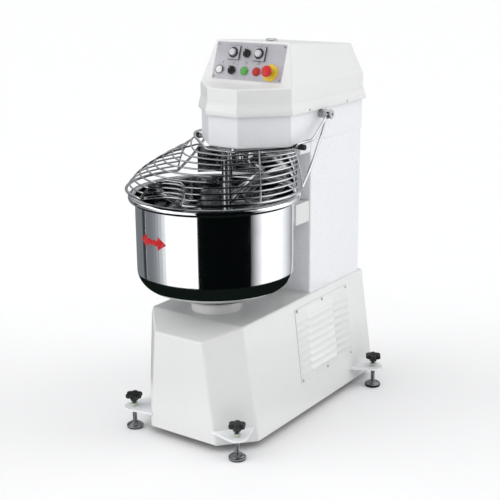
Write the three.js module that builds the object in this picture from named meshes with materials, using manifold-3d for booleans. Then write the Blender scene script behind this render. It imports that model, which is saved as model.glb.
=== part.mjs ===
// Floor-standing spiral dough mixer: pedestal, column, overhanging head, turning bowl, spiral and wire guard.
// Millimetres, +Z up, front faces -Y. The origin is on the floor, midway along the machine.
import * as THREE from "three";
import { ConvexGeometry } from "three/addons/geometries/ConvexGeometry.js";
import { mergeVertices } from "three/addons/utils/BufferGeometryUtils.js";
import Module from "manifold-3d";

const wasm = await Module();
wasm.setup();

// ---------- Driving dimensions ----------
const gap = 0.3; // clearance between touching pieces
const sheet = 3; // casing sheet thickness
const trim = 2; // thin plates: panel, covers
const overrun = 1; // how far a cutting shape runs past the face it cuts

// Pedestal, in plan at the deck and at its bottom edge
const deckZ = 440;
const pedestalBottomZ = 25;
const deckMargin = 5; // deck beyond the column on each side
const deckFrontY = -320;
const deckRearY = 492;
const pedestalFlare = 48; // how far each side spreads from deck to bottom
const rearFlare = 16;
const frontY = -424; // top edge of the front face
const frontDrop = 44; // from the deck down to that edge
const frontHalfWidth = 101;
const frontBottomHalfWidth = 143;
const frontBottomY = -410;
const cornerBottomY = -296;

// Column and head
const columnHalfWidth = 192;
const columnFrontY = 109;
const columnRearY = 467;
const columnHeight = 560;
const headRearY = 475;
const chordY = -17; // where the head's sides end and the nose begins
const noseDepth = 133;
const noseHalfWidth = 61;
const armWallHeight = 150;
const skirtHeight = 110; // from the head's underside to the cover's lower edge
const skirtFlare = 8;
const skirtLip = 8;
const flareHeight = 41; // lip and flare together
const bandProud = 2; // cover stands this far outside the head's walls
const ledgeHeight = 202; // from the head's underside to the nose ledge
const hoodFrontHeight = 145;
const hoodRearHeight = 112;
const hoodTaper = 36;
const hoodSlant = 50;
const hoodRearSlant = 28;
const stepDepth = 69; // lower part of the head just ahead of the column
const stepDrop = 37;

// Bowl
const bowlRadius = 272;
const bowlColumnClearance = 40;
const bowlWall = 3;
const bowlLift = 85; // from the deck to the bowl's underside
const bowlHeight = 335;
const bowlCorner = 72;
const rollRadius = 12; // rolled rim
const flangeRadius = 166;
const flangeThickness = 20;
const flangeBossRadius = 91;
const flangeBossDrop = 6;
const flangeChamfer = 4;
const bowlShaftRadius = 25;
const housingRadius = 88;
const housingHeight = 36;
const housingShoulder = 27; // straight part of that height
const housingTopRadius = 72;
const housingTubeRadius = 50;
const housingTubeDepth = 190;

// Bowl drive, inside the pedestal
const bowlPulleyRadius = 140;
const bowlMotorY = 170;
const bowlMotorRadius = 80;
const bowlMotorFlange = 95;
const bowlMotorLength = 200;
const bowlMotorPulleyRadius = 40;

// Spiral drive, inside the head
const hookWallClearance = 8; // from the spiral to the bowl's wall
const spindleRadius = 20;
const spindleHousingRadius = 48;
const spindleHousingHeight = 82;
const spindleTubeRadius = 43; // housing above the head's floor
const spindleFlangeRadius = 72;
const spindleFlangeThickness = 10;
const hubHousingClearance = 6;
const spindleSeat = 10; // bottom of the spindle above the hub's foot
const shaftEnd = 8; // shaft above its pulley
const spiralPulleyRadius = 105;
const spiralMotorY = 300;
const spiralMotorRadius = 92;
const spiralMotorFlange = 115;
const spiralMotorLength = 210;
const spiralMotorPulleyRadius = 38;
const motorPlateThickness = 12;
const motorShaftRadius = 12;
const motorNoseRadius = 45;
const motorNoseHeight = 25;
const motorEndChamfer = 16;
const motorEndHeight = 10;

// Pulleys and belts
const pulleyWidth = 40;
const pulleyFlange = 8;
const pulleyFlangeThickness = 4;
const pulleyWeb = 14;
const pulleyRim = 12;
const pulleyHub = 16;
const beltThickness = 6;
const pulleyClearance = 15; // between the bowl motor and its pulley
const spiralPulleyLift = 105; // from the head's underside

// Spiral hook and centre post
const hookReach = 80; // outside of the spiral, from its axis
const hookBar = 14; // bar radius
const hookTurns = 1.25;
const hookStations = 20;
const hookSweep = 3; // stations over which the bar leaves the hub, and closes at the foot
const hookFootOpening = 0.35; // how far open the spiral still is at its foot
const hookLevelling = 1.04; // over 1, so the bar's end runs level
const hookHubRadius = 32;
const hookHubLength = 45;
const hookHubDrop = 75; // from the head's underside to the hub's foot
const hookFloorClearance = 14;
const postHookClearance = 7;
const postRadius = 19;
const postTipRadius = 9.5;
const postTipHeight = 11.4;
const postCollarRadius = 32;
const postCollarHeight = 16;
const postFloorClearance = 32;

// Wire guard
const guardOutside = 28; // lower ring outside the bowl's wall
const guardLift = 17; // lower ring above the rim
const guardHalfAngle = THREE.MathUtils.degToRad(117);
const rodRadius = 5;
const wireRadius = 3;
const wireSides = 4;
const guardWires = 9; // rings between the upper bar and the lower ring
const guardRibAngle = THREE.MathUtils.degToRad(66);
const domeSoftness = 0.35; // 0 is an elliptical dome, 1 a straight cone
const barClearance = 18; // upper bar ahead of the nose
const barDrop = 7; // upper bar below the head's underside, at the front
const barHalfWidth = 60;
const barEndOut = 15; // upper bar's end outside the head's side
const barEndY = -38;
const barEndRise = 3;
const armOut = 32; // guard arms outside the head's side
const armBow = 28; // lower arm bowed clear of the rest peg
const armBowRise = 47;
const armBowSetback = 165;
const armLowSetback = 72;
const armLowOut = 10;
const armLowRise = 10;
const armBendX = 4; // where the upper bar turns back into the arm
const armBendY = 14;
const armBendDrop = 2;
const armStraight = 70; // level run behind the rest peg
const barJoinShare = 0.94;
const pivotY = 171;
const pivotRise = 93; // above the head's underside
const pivotPinRadius = 8;
const pivotBossRadius = 16;
const pivotBossLength = 16;
const pivotEyeLength = 26;
const pivotHeadLength = 6;
const pegY = 0;
const pegRise = 1; // above the head's underside
const pegRadius = 8;
const pegLength = 42;
const pegCapRadius = 10;
const pegCapLength = 22;
const pegCapEnd = 3;
const pocketRadius = 85; // loading pocket in the front of the guard

// Rear shield and guide roller
const shieldOutside = 13; // shield outside the bowl's wall
const shieldHalfAngle = THREE.MathUtils.degToRad(49);
const shieldLift = 8;
const shieldTabHalfSpacing = 60;
const shieldTabSize = 30;
const rollerRadius = 18;
const rollerHeight = 50;
const rollerX = 161;
const rollerPinRadius = 6;
const rollerClearance = 4; // between the box and the roller, and the box and the bowl
const rollerBoxHalfWidth = 27;
const rollerBoxHeight = 76;
const rollerBoxTopDrop = 72; // from the rim's top to the roller box's top

// Electrical box, rear cover and side access panel
const boxDepth = 80;
const boxFrontY = 150;
const boxRearY = 400;
const boxBottomRise = 60;
const boxHeight = 240;
const rearCoverHalfWidth = 170;
const rearCoverMargin = 40;
const coverLap = 18; // how far a cover plate laps over the edge of its opening
const accessFrontY = -7;
const accessRearY = 361;
const accessTopDrop = 30;
const accessBottomDrop = 307;
const louvreRows = 8;
const louvrePitch = 27.5;
const louvreTopDrop = 44;
const louvreLength = 187;
const louvreSlot = 6;
const louvreFrontY = 63;

// Levelling feet
const frontFootOut = { x: 32, y: 48 }; // from the middle of the front chamfer's bottom edge
const rearFootOut = 57; // from the side's bottom edge
const rearFootY = 405;
const frontBracketRoot = { x: 46, y: -40 }; // from the bracket's root out to its screw
const rearBracketRoot = { x: 66, y: 0 };
const knobLobeDepth = 4;
const padRadius = 30;
const padEdge = 10;
const padCone = 12;
const screwRadius = 8;
const screwTopZ = 131;
const knobRadius = 31;
const knobHeight = 28;
const knobLobes = 6;
const bracketZ = 74;
const bracketThickness = 8;
const bracketReach = 36; // bracket radius round the screw
const nutRadius = 13;
const nutHeight = 12;
const bracketRootHalfWidth = 75;

// Control panel, measured on the tilted face: x across, u up the face from the ledge
const panelHalfWidth = 146;
const panelBottomU = 13;
const panelTopU = 145;
const panelWindowMargin = 16;
const upperRowU = 107;
const lowerRowU = 45;
const timerSize = 50;
const timerBody = 40;
const timerDepth = 42;
const timerProud = 6;
const timerDialRadius = 21;
const timerDialHeight = 12;
const dialSkirt = 3;
const dialShoulder = 4;
const dialGripRadius = 13;
const dialCrownRadius = 11.5;
const pointerHalfWidth = 3;
const pointerProud = 2;
const selectorRadius = 15;
const selectorBase = 8;
const selectorGrip = 12;
const selectorGripHalfWidth = 4;
const selectorGripInset = 1;
const buttonBezelRadius = 15.5;
const buttonCapRadius = 11;
const buttonProud = 5;
const buttonTravel = 4;
const lampRadius = 16.5;
const lampLensRadius = 11;
const lensCrownRadius = 7.7;
const lensShoulder = 3;
const lensCrown = 4;
const stemRadius = 5;
const stemDepth = 22;
const stopDiscRadius = 30;
const mushroomRadius = 20;
const mushroomHeight = 14;
const mushroomStandOff = 22;
const mushroomNeckRadius = 12;
const mushroomNeckBottom = 12; // below the cap
const mushroomNeckTop = 10;
const mushroomEdge = 5;
const mushroomShoulder = { radius: 16, drop: 3 };
const mushroomCrownRadius = 8;
const controlX = {
  timerLeft: -66, mode: -12, timerRight: 42,
  lamp: -116, speed: -64, start: -11, stop: 40, emergency: 98,
};

// Lifting point on the hood
const liftY = 150;
const liftRadius = 21;
const liftHeight = 9;
const liftShoulder = 4.5;
const liftTopRadius = 15.75;

// Cable way through the deck into the column
const cableHole = { halfWidth: 100, y0: 300, y1: 430 };
const cutterReach = 9; // how far a window's cutter runs through a casing

// Facets of turned pieces, all multiples of 4
const round = 20;
const bowlFacets = 40;
const small = 12;
const lobeFacets = 6;

// ---------- Derived places and levels ----------
const deckHalfWidth = columnHalfWidth + deckMargin;
const bowlY = columnFrontY - bowlColumnClearance - bowlRadius;
const spiralY = bowlY + bowlRadius - bowlWall - hookWallClearance - hookReach;
const postY = spiralY - hookReach - postHookClearance - postRadius;
const guardRadius = bowlRadius + guardOutside;
const shieldRadius = bowlRadius + shieldOutside;
const barEndX = columnHalfWidth + barEndOut;
const armX = columnHalfWidth + armOut;
const frontFoot = {
  x: (frontBottomHalfWidth + deckHalfWidth + pedestalFlare) / 2 + frontFootOut.x,
  y: (frontBottomY + cornerBottomY) / 2 - frontFootOut.y,
};
const rearFoot = { x: deckHalfWidth + pedestalFlare + rearFootOut, y: rearFootY };
const headZ = deckZ + columnHeight;
const skirtZ = headZ + skirtHeight;
const armTopZ = headZ + armWallHeight;
const ledgeZ = headZ + ledgeHeight;
const bowlZ = deckZ + bowlLift;
const rimZ = bowlZ + bowlHeight;
const guardZ = rimZ + guardLift;
const pivotZ = headZ + pivotRise;
const noseY = chordY - noseDepth;
const bowlMotorZ = deckZ - sheet - gap - motorPlateThickness - bowlMotorLength;
const bowlPulleyZ = bowlMotorZ - pulleyClearance - pulleyWidth;
const spiralMotorZ = headZ + sheet + gap - spiralMotorLength;
const spiralPulleyZ = headZ + spiralPulleyLift;
const hubFootZ = headZ - hookHubDrop;
const spindleFootZ = hubFootZ + spindleSeat;
const spindleTopZ = spiralPulleyZ + pulleyWidth + shaftEnd;
const pegZ = headZ + pegRise;
const armRestZ = pegZ + pegCapRadius + gap + rodRadius;

// ---------- Colours ----------
const finishes = {
  white: { color: 0xe9e9e6, roughness: 0.35, metalness: 0 },
  coolWhite: { color: 0xdfe2e6, roughness: 0.35, metalness: 0 },
  brushed: { color: 0xc9c8d2, roughness: 0.35, metalness: 1 },
  polished: { color: 0xd4d6d8, roughness: 0.12, metalness: 1 },
  steel: { color: 0x9a9c9e, roughness: 0.4, metalness: 1 },
  castGrey: { color: 0x6f7478, roughness: 0.6, metalness: 0.4 },
  black: { color: 0x1b1b1d, roughness: 0.5, metalness: 0 },
  rubber: { color: 0x161616, roughness: 0.85, metalness: 0 },
  red: { color: 0xc01a1c, roughness: 0.35, metalness: 0 },
  green: { color: 0x1f8f45, roughness: 0.35, metalness: 0 },
  yellow: { color: 0xf0cc1e, roughness: 0.45, metalness: 0 },
  lens: { color: 0xf2f1ea, roughness: 0.15, metalness: 0 },
};

const mixer = new THREE.Group();

// Adds one named piece to a group.
function add(name, geometry, finish, group = mixer) {
  const mesh = new THREE.Mesh(geometry, new THREE.MeshStandardMaterial(finishes[finish]));
  mesh.name = name;
  group.add(mesh);
  return mesh;
}

// ---------- Joining and cutting ----------
function toSolid(geometry) {
  const bare = geometry.clone();
  bare.deleteAttribute("normal");
  bare.deleteAttribute("uv");
  const merged = mergeVertices(bare);
  return new wasm.Manifold(
    new wasm.Mesh({
      numProp: 3,
      vertProperties: merged.attributes.position.array,
      triVerts: new Uint32Array(merged.index.array),
    }),
  );
}

function toGeometry(solid) {
  const mesh = solid.getMesh();
  const geometry = new THREE.BufferGeometry();
  geometry.setAttribute("position", new THREE.BufferAttribute(mesh.vertProperties, mesh.numProp));
  geometry.setIndex(new THREE.BufferAttribute(mesh.triVerts, 1));
  geometry.computeVertexNormals();
  return geometry;
}

function join(...geometries) {
  return toGeometry(geometries.map(toSolid).reduce((whole, part) => whole.add(part)));
}

function cut(body, ...tools) {
  return toGeometry(tools.map(toSolid).reduce((whole, tool) => whole.subtract(tool), toSolid(body)));
}

// ---------- Plain shapes ----------
function box(x0, x1, y0, y1, z0, z1) {
  const block = new THREE.BoxGeometry(x1 - x0, y1 - y0, z1 - z0);
  return block.translate((x0 + x1) / 2, (y0 + y1) / 2, (z0 + z1) / 2);
}

// A turned piece about Z: its profile of [radius, z] runs from the axis round to the axis, or closes on itself.
function turned(profile, facets = round) {
  const points = profile.map(([radius, z]) => new THREE.Vector2(radius, z));
  return new THREE.LatheGeometry(points, facets).rotateX(Math.PI / 2);
}

function cylinder(radius, z0, z1, facets = round) {
  return turned([[0, z0], [radius, z0], [radius, z1], [0, z1]], facets);
}

function tube(inner, outer, z0, z1, facets = round) {
  return turned([[inner, z0], [outer, z0], [outer, z1], [inner, z1], [inner, z0]], facets);
}

// Radius of a faceted hole whose flats just clear a round of the given radius.
function holeRadius(radius, facets = round) {
  return (radius + gap) / Math.cos(Math.PI / facets);
}

function prism(outline, z0, z1) {
  const shape = new THREE.Shape(outline.map(([x, y]) => new THREE.Vector2(x, y)));
  return new THREE.ExtrudeGeometry(shape, { depth: z1 - z0, bevelEnabled: false }).translate(0, 0, z0);
}

function hull(points) {
  return new ConvexGeometry(points.map(([x, y, z]) => new THREE.Vector3(x, y, z)));
}

// A bent round bar through a list of points.
function bar(points, radius, steps, sides = 6) {
  const section = new THREE.Shape();
  section.absarc(0, 0, radius, 0, 2 * Math.PI);
  const path = new THREE.CatmullRomCurve3(points, false, "centripetal");
  const options = { curveSegments: sides / 2, steps, bevelEnabled: false, extrudePath: path };
  return new THREE.ExtrudeGeometry(section, options);
}

// ---------- Pedestal ----------
// The pedestal's outer body grown by an offset, down to a given level so that cavities run out below.
function pedestalBody(offset, bottomZ) {
  const top = deckZ + offset;
  const corners = [];
  for (const side of [-1, 1]) {
    corners.push([side * (deckHalfWidth + offset), deckFrontY - offset, top]);
    corners.push([side * (deckHalfWidth + offset), deckRearY + offset, top]);
    corners.push([side * (frontHalfWidth + offset), frontY - offset, deckZ - frontDrop + offset]);
    corners.push([side * (frontBottomHalfWidth + offset), frontBottomY - offset, bottomZ]);
    corners.push([side * (deckHalfWidth + pedestalFlare + offset), cornerBottomY - offset, bottomZ]);
    corners.push([side * (deckHalfWidth + pedestalFlare + offset), deckRearY + rearFlare + offset, bottomZ]);
  }
  return hull(corners);
}

function pedestalShell() {
  return cut(
    pedestalBody(0, pedestalBottomZ),
    pedestalBody(-sheet, pedestalBottomZ - overrun),
    cylinder(holeRadius(housingTubeRadius), deckZ - sheet - overrun, deckZ + overrun).translate(0, bowlY, 0),
    box(
      -cableHole.halfWidth, cableHole.halfWidth, cableHole.y0, cableHole.y1,
      deckZ - sheet - overrun, deckZ + overrun,
    ),
    onSide(sideBox(
      accessFrontY + coverLap, accessRearY - coverLap, accessTopDrop + coverLap, accessBottomDrop - coverLap,
      -cutterReach, overrun,
    )),
  );
}

// The right side's sloping plane: x runs rearward, y up the slope, z outward, from the deck's edge.
const sideSlope = Math.atan2(pedestalFlare, deckZ - pedestalBottomZ);
const sideFrame = new THREE.Matrix4().makeBasis(
  new THREE.Vector3(0, 1, 0),
  new THREE.Vector3(-Math.sin(sideSlope), 0, Math.cos(sideSlope)),
  new THREE.Vector3(Math.cos(sideSlope), 0, Math.sin(sideSlope)),
).setPosition(deckHalfWidth, 0, deckZ);

function onSide(geometry) {
  return geometry.applyMatrix4(sideFrame);
}

// A box on that plane between two stations and two drops below the deck.
function sideBox(y0, y1, topDrop, bottomDrop, z0, z1) {
  return box(y0, y1, -bottomDrop, -topDrop, z0, z1);
}

function accessPanel() {
  const slots = [];
  for (let row = 0; row < louvreRows; row += 1) {
    const drop = louvreTopDrop + accessTopDrop + row * louvrePitch;
    slots.push(sideBox(
      louvreFrontY, louvreFrontY + louvreLength, drop, drop + louvreSlot, 0, trim + gap + overrun,
    ));
  }
  const plate = sideBox(accessFrontY, accessRearY, accessTopDrop, accessBottomDrop, gap, gap + trim);
  return onSide(cut(plate, ...slots));
}

add("pedestal_shell", pedestalShell(), "white");
add("access_panel", accessPanel(), "white");

// ---------- Levelling feet ----------
function footBracket(foot) {
  const across = new THREE.Vector2(-foot.root.y, foot.root.x).setLength(bracketRootHalfWidth);
  const rootX = foot.x - foot.root.x;
  const rootY = foot.y - foot.root.y;
  const corners = [];
  for (const z of [bracketZ, bracketZ + bracketThickness]) {
    for (let step = 0; step < small; step += 1) {
      const turn = (step / small) * 2 * Math.PI;
      corners.push([foot.x + bracketReach * Math.cos(turn), foot.y + bracketReach * Math.sin(turn), z]);
    }
    corners.push([rootX + across.x, rootY + across.y, z]);
    corners.push([rootX - across.x, rootY - across.y, z]);
  }
  const topZ = bracketZ + bracketThickness;
  const nut = cylinder(nutRadius, topZ - overrun, topZ + nutHeight, 6);
  const hole = cylinder(holeRadius(screwRadius, small), bracketZ - overrun, topZ + nutHeight + overrun, small);
  return cut(
    join(hull(corners), nut.translate(foot.x, foot.y, 0)),
    hole.translate(foot.x, foot.y, 0),
    pedestalBody(gap, pedestalBottomZ - overrun),
  );
}

function footScrew() {
  const top = screwTopZ - knobHeight / 2; // half way up inside the knob
  return turned([
    [0, 0], [padRadius, 0], [padRadius, padEdge], [nutRadius, padEdge + padCone],
    [screwRadius, padEdge + padCone], [screwRadius, top], [0, top],
  ], small);
}

function footKnob() {
  const shape = new THREE.Shape();
  const steps = knobLobes * lobeFacets;
  for (let step = 0; step < steps; step += 1) {
    const turn = (step / steps) * 2 * Math.PI;
    const radius = knobRadius - knobLobeDepth + knobLobeDepth * Math.cos(turn * knobLobes);
    const point = new THREE.Vector2(radius * Math.cos(turn), radius * Math.sin(turn));
    if (step === 0) shape.moveTo(point.x, point.y);
    else shape.lineTo(point.x, point.y);
  }
  const body = new THREE.ExtrudeGeometry(shape, { depth: knobHeight, bevelEnabled: false });
  const bore = cylinder(holeRadius(screwRadius, small), -overrun, knobHeight / 2 + gap, small);
  return cut(body, bore).translate(0, 0, screwTopZ - knobHeight);
}

const feet = [];
for (const side of [-1, 1]) {
  const sideName = side < 0 ? "left" : "right";
  const ends = [["front", frontFoot, frontBracketRoot], ["rear", rearFoot, rearBracketRoot]];
  for (const [end, foot, root] of ends) {
    feet.push({
      name: `${end}_${sideName}`, x: side * foot.x, y: foot.y, root: { x: side * root.x, y: root.y },
    });
  }
}

for (const foot of feet) {
  add(`foot_bracket_${foot.name}`, footBracket(foot), "white");
  add(`foot_screw_${foot.name}`, footScrew(), "steel").position.set(foot.x, foot.y, 0);
  add(`foot_knob_${foot.name}`, footKnob(), "black").position.set(foot.x, foot.y, 0);
}

// ---------- Column ----------
function columnShell() {
  const bottomZ = deckZ + gap;
  const topZ = headZ - gap;
  return cut(
    box(-columnHalfWidth, columnHalfWidth, columnFrontY, columnRearY, bottomZ, topZ),
    box(
      sheet - columnHalfWidth, columnHalfWidth - sheet, columnFrontY + sheet, columnRearY - sheet,
      bottomZ - overrun, topZ + overrun,
    ),
    box(
      coverLap - rearCoverHalfWidth, rearCoverHalfWidth - coverLap, columnRearY - sheet - overrun,
      columnRearY + overrun, deckZ + rearCoverMargin + coverLap, headZ - rearCoverMargin - coverLap,
    ),
  );
}

function columnRearCover() {
  return box(
    -rearCoverHalfWidth, rearCoverHalfWidth, columnRearY + gap, columnRearY + gap + trim,
    deckZ + rearCoverMargin, headZ - rearCoverMargin,
  );
}

function electricalBox() {
  const wallX = sheet - columnHalfWidth + gap;
  const bottomZ = deckZ + boxBottomRise;
  return box(wallX, wallX + boxDepth, boxFrontY, boxRearY, bottomZ, bottomZ + boxHeight);
}

add("column_shell", columnShell(), "coolWhite");
add("column_rear_cover", columnRearCover(), "coolWhite");
add("electrical_box", electricalBox(), "castGrey");

// ---------- Head ----------
// The head's plan outline, grown by an offset: straight sides, and a nose with two chamfers.
function headOutline(offset) {
  const chamferTurn = Math.atan2(noseDepth, columnHalfWidth - noseHalfWidth);
  const noseShift = offset * Math.tan(chamferTurn / 2);
  const sideShift = offset * Math.tan((Math.PI / 2 - chamferTurn) / 2);
  const right = [
    [noseHalfWidth + noseShift, noseY - offset],
    [columnHalfWidth + offset, chordY - sideShift],
    [columnHalfWidth + offset, headRearY + offset],
  ];
  const left = right.map(([x, y]) => [-x, y]).reverse();
  return [...right, ...left];
}

function headShell() {
  const floorZ = headZ + sheet;
  const stepFrontY = columnFrontY - stepDepth;
  const stepRearY = columnFrontY - gap;
  const walls = join(
    prism(headOutline(0), headZ, armTopZ),
    box(-columnHalfWidth, columnHalfWidth, stepFrontY, stepRearY, headZ - stepDrop, headZ + overrun),
  );
  return cut(
    walls,
    prism(headOutline(-sheet), floorZ, armTopZ + overrun),
    box(
      sheet - columnHalfWidth, columnHalfWidth - sheet, stepFrontY + sheet, stepRearY - sheet,
      headZ - stepDrop + sheet, floorZ + overrun,
    ),
    cylinder(holeRadius(spindleHousingRadius), headZ - overrun, floorZ + overrun).translate(0, spiralY, 0),
    cylinder(holeRadius(spiralMotorRadius), headZ - overrun, floorZ + overrun).translate(0, spiralMotorY, 0),
  );
}

// The hood: a flared skirt, a straight band with the nose ledge, and a tapered box with a tilted front.
function hoodBody(inset) {
  const outline = (offset, z) => headOutline(bandProud + offset - inset).map(([x, y]) => [x, y, z]);
  const flareTopZ = skirtZ + flareHeight;
  const skirt = hull([
    ...outline(skirtFlare, skirtZ), ...outline(skirtFlare, skirtZ + skirtLip), ...outline(0, flareTopZ),
  ]);
  const band = hull([...outline(0, flareTopZ), ...outline(0, ledgeZ - inset)]);
  const tapered = [];
  for (const side of [-1, 1]) {
    const wide = side * (columnHalfWidth + bandProud - inset);
    const narrow = side * (columnHalfWidth - hoodTaper - inset);
    const rearY = headRearY + bandProud - inset;
    for (const z of [ledgeZ - overrun - inset, ledgeZ]) {
      tapered.push([wide, chordY + inset, z]);
      tapered.push([wide, rearY, z]);
    }
    tapered.push([narrow, chordY + hoodSlant + inset, ledgeZ + hoodFrontHeight - inset]);
    tapered.push([narrow, headRearY - hoodRearSlant - inset, ledgeZ + hoodRearHeight - inset]);
  }
  return join(skirt, band, hull(tapered));
}

function hood() {
  const panelWindow = onPanel(box(
    panelWindowMargin - panelHalfWidth, panelHalfWidth - panelWindowMargin,
    panelBottomU + panelWindowMargin, panelTopU - panelWindowMargin, -cutterReach, overrun,
  ));
  return cut(
    hoodBody(0),
    join(hoodBody(sheet), prism(headOutline(gap), skirtZ - overrun, armTopZ + gap)),
    panelWindow,
  );
}

function liftingCap() {
  const slope = Math.atan2(hoodFrontHeight - hoodRearHeight, headRearY - hoodRearSlant - chordY - hoodSlant);
  const cap = turned([
    [0, gap], [liftRadius, gap], [liftRadius, gap + liftShoulder], [liftTopRadius, gap + liftHeight],
    [0, gap + liftHeight],
  ], small);
  const along = liftY - chordY - hoodSlant;
  const topZ = ledgeZ + hoodFrontHeight - along * Math.tan(slope);
  return cap.rotateX(-slope).translate(0, liftY, topZ);
}

// The tilted face: x across, y up the face from the ledge, z outward.
const panelTilt = Math.atan2(hoodFrontHeight, hoodSlant);
const panelFrame = new THREE.Matrix4().makeRotationX(panelTilt).setPosition(0, chordY, ledgeZ);

function onPanel(geometry) {
  return geometry.applyMatrix4(panelFrame);
}

add("head_shell", headShell(), "coolWhite");
add("hood", hood(), "white");
add("lifting_cap", liftingCap(), "steel");

// ---------- Control panel ----------
const panel = new THREE.Group();
panel.rotation.x = panelTilt;
panel.position.set(0, chordY, ledgeZ);
mixer.add(panel);
const faceZ = gap + trim; // the plate's front

function controlPlate() {
  const holes = [];
  for (const x of [controlX.timerLeft, controlX.timerRight]) {
    const half = timerBody / 2 + gap;
    holes.push(box(x - half, x + half, upperRowU - half, upperRowU + half, 0, faceZ + overrun));
  }
  const drilled = [
    [controlX.mode, upperRowU, stemRadius], [controlX.speed, lowerRowU, stemRadius],
    [controlX.lamp, lowerRowU, lampLensRadius], [controlX.start, lowerRowU, buttonCapRadius + gap + trim],
    [controlX.stop, lowerRowU, buttonCapRadius + gap + trim], [controlX.emergency, lowerRowU, stemRadius],
  ];
  for (const [x, u, radius] of drilled) {
    holes.push(cylinder(holeRadius(radius, small), 0, faceZ + overrun, small).translate(x, u, 0));
  }
  const half = panelHalfWidth;
  return cut(box(-half, half, panelBottomU, panelTopU, gap, faceZ), ...holes);
}

function timerBezel() {
  const half = timerSize / 2;
  const bodyHalf = timerBody / 2;
  const front = faceZ + gap;
  return cut(
    join(
      box(-half, half, -half, half, front, front + timerProud),
      box(-bodyHalf, bodyHalf, -bodyHalf, bodyHalf, front - timerDepth, front + overrun),
    ),
    cylinder(holeRadius(stemRadius, small), front - stemDepth, front + timerProud + overrun, small),
  );
}

function timerDial() {
  const base = faceZ + gap + timerProud + gap;
  const crown = base + timerDialHeight;
  const pointer = box(
    -pointerHalfWidth, pointerHalfWidth, 0, timerDialRadius - dialSkirt,
    crown - overrun, crown + pointerProud,
  );
  return join(
    turned([
      [0, base], [timerDialRadius, base], [timerDialRadius, base + dialSkirt],
      [dialGripRadius, base + dialShoulder], [dialCrownRadius, crown], [0, crown],
    ], small),
    cylinder(stemRadius, base - stemDepth + timerProud, base + overrun, small),
    pointer,
  );
}

function selectorKnob() {
  const base = faceZ + gap;
  return join(
    cylinder(selectorRadius, base, base + selectorBase, small),
    box(
      -selectorGripHalfWidth, selectorGripHalfWidth, selectorGripInset - selectorRadius,
      selectorRadius - selectorGripInset, base + selectorBase - overrun, base + selectorBase + selectorGrip,
    ),
    cylinder(stemRadius, base - stemDepth, base + overrun, small),
  );
}

function buttonBezel() {
  const base = faceZ + gap;
  const inner = holeRadius(buttonCapRadius, small);
  return join(
    tube(inner, buttonBezelRadius, base, base + buttonProud, small),
    tube(inner, buttonCapRadius + gap + trim, base - stemDepth, base + overrun, small),
  );
}

function buttonCap() {
  const top = faceZ + gap + buttonProud + trim;
  return cylinder(buttonCapRadius, top - stemDepth + buttonTravel, top, small);
}

function lampBezel() {
  const base = faceZ + gap;
  return tube(holeRadius(lampLensRadius, small), lampRadius, base, base + buttonProud, small);
}

function lampLens() {
  const base = faceZ + gap;
  return turned([
    [0, base - stemDepth], [lampLensRadius, base - stemDepth], [lampLensRadius, base + buttonProud],
    [lensCrownRadius, base + buttonProud + lensShoulder], [0, base + buttonProud + lensCrown],
  ], small);
}

function stopDisc() {
  return tube(holeRadius(stemRadius, small), stopDiscRadius, faceZ + gap, faceZ + gap + trim, round);
}

function stopMushroom() {
  const neck = faceZ + gap + mushroomStandOff;
  const top = neck + mushroomHeight;
  return turned([
    [0, faceZ - stemDepth], [stemRadius, faceZ - stemDepth], [stemRadius, neck - mushroomNeckBottom],
    [mushroomNeckRadius, neck - mushroomNeckTop], [mushroomNeckRadius, neck], [mushroomRadius, neck],
    [mushroomRadius, neck + mushroomEdge], [mushroomShoulder.radius, top - mushroomShoulder.drop],
    [mushroomCrownRadius, top], [0, top],
  ], round);
}

function place(name, geometry, finish, x, u) {
  add(name, geometry, finish, panel).position.set(x, u, 0);
}

add("control_plate", controlPlate(), "brushed", panel);
place("timer_bezel_left", timerBezel(), "black", controlX.timerLeft, upperRowU);
place("timer_dial_left", timerDial(), "black", controlX.timerLeft, upperRowU);
place("timer_bezel_right", timerBezel(), "black", controlX.timerRight, upperRowU);
place("timer_dial_right", timerDial(), "black", controlX.timerRight, upperRowU);
place("mode_selector", selectorKnob(), "black", controlX.mode, upperRowU);
place("speed_selector", selectorKnob(), "black", controlX.speed, lowerRowU);
place("lamp_bezel", lampBezel(), "polished", controlX.lamp, lowerRowU);
place("lamp_lens", lampLens(), "lens", controlX.lamp, lowerRowU);
place("start_bezel", buttonBezel(), "green", controlX.start, lowerRowU);
place("start_button", buttonCap(), "green", controlX.start, lowerRowU);
place("stop_bezel", buttonBezel(), "red", controlX.stop, lowerRowU);
place("stop_button", buttonCap(), "red", controlX.stop, lowerRowU);
place("emergency_disc", stopDisc(), "yellow", controlX.emergency, lowerRowU);
place("emergency_button", stopMushroom(), "red", controlX.emergency, lowerRowU);

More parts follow.
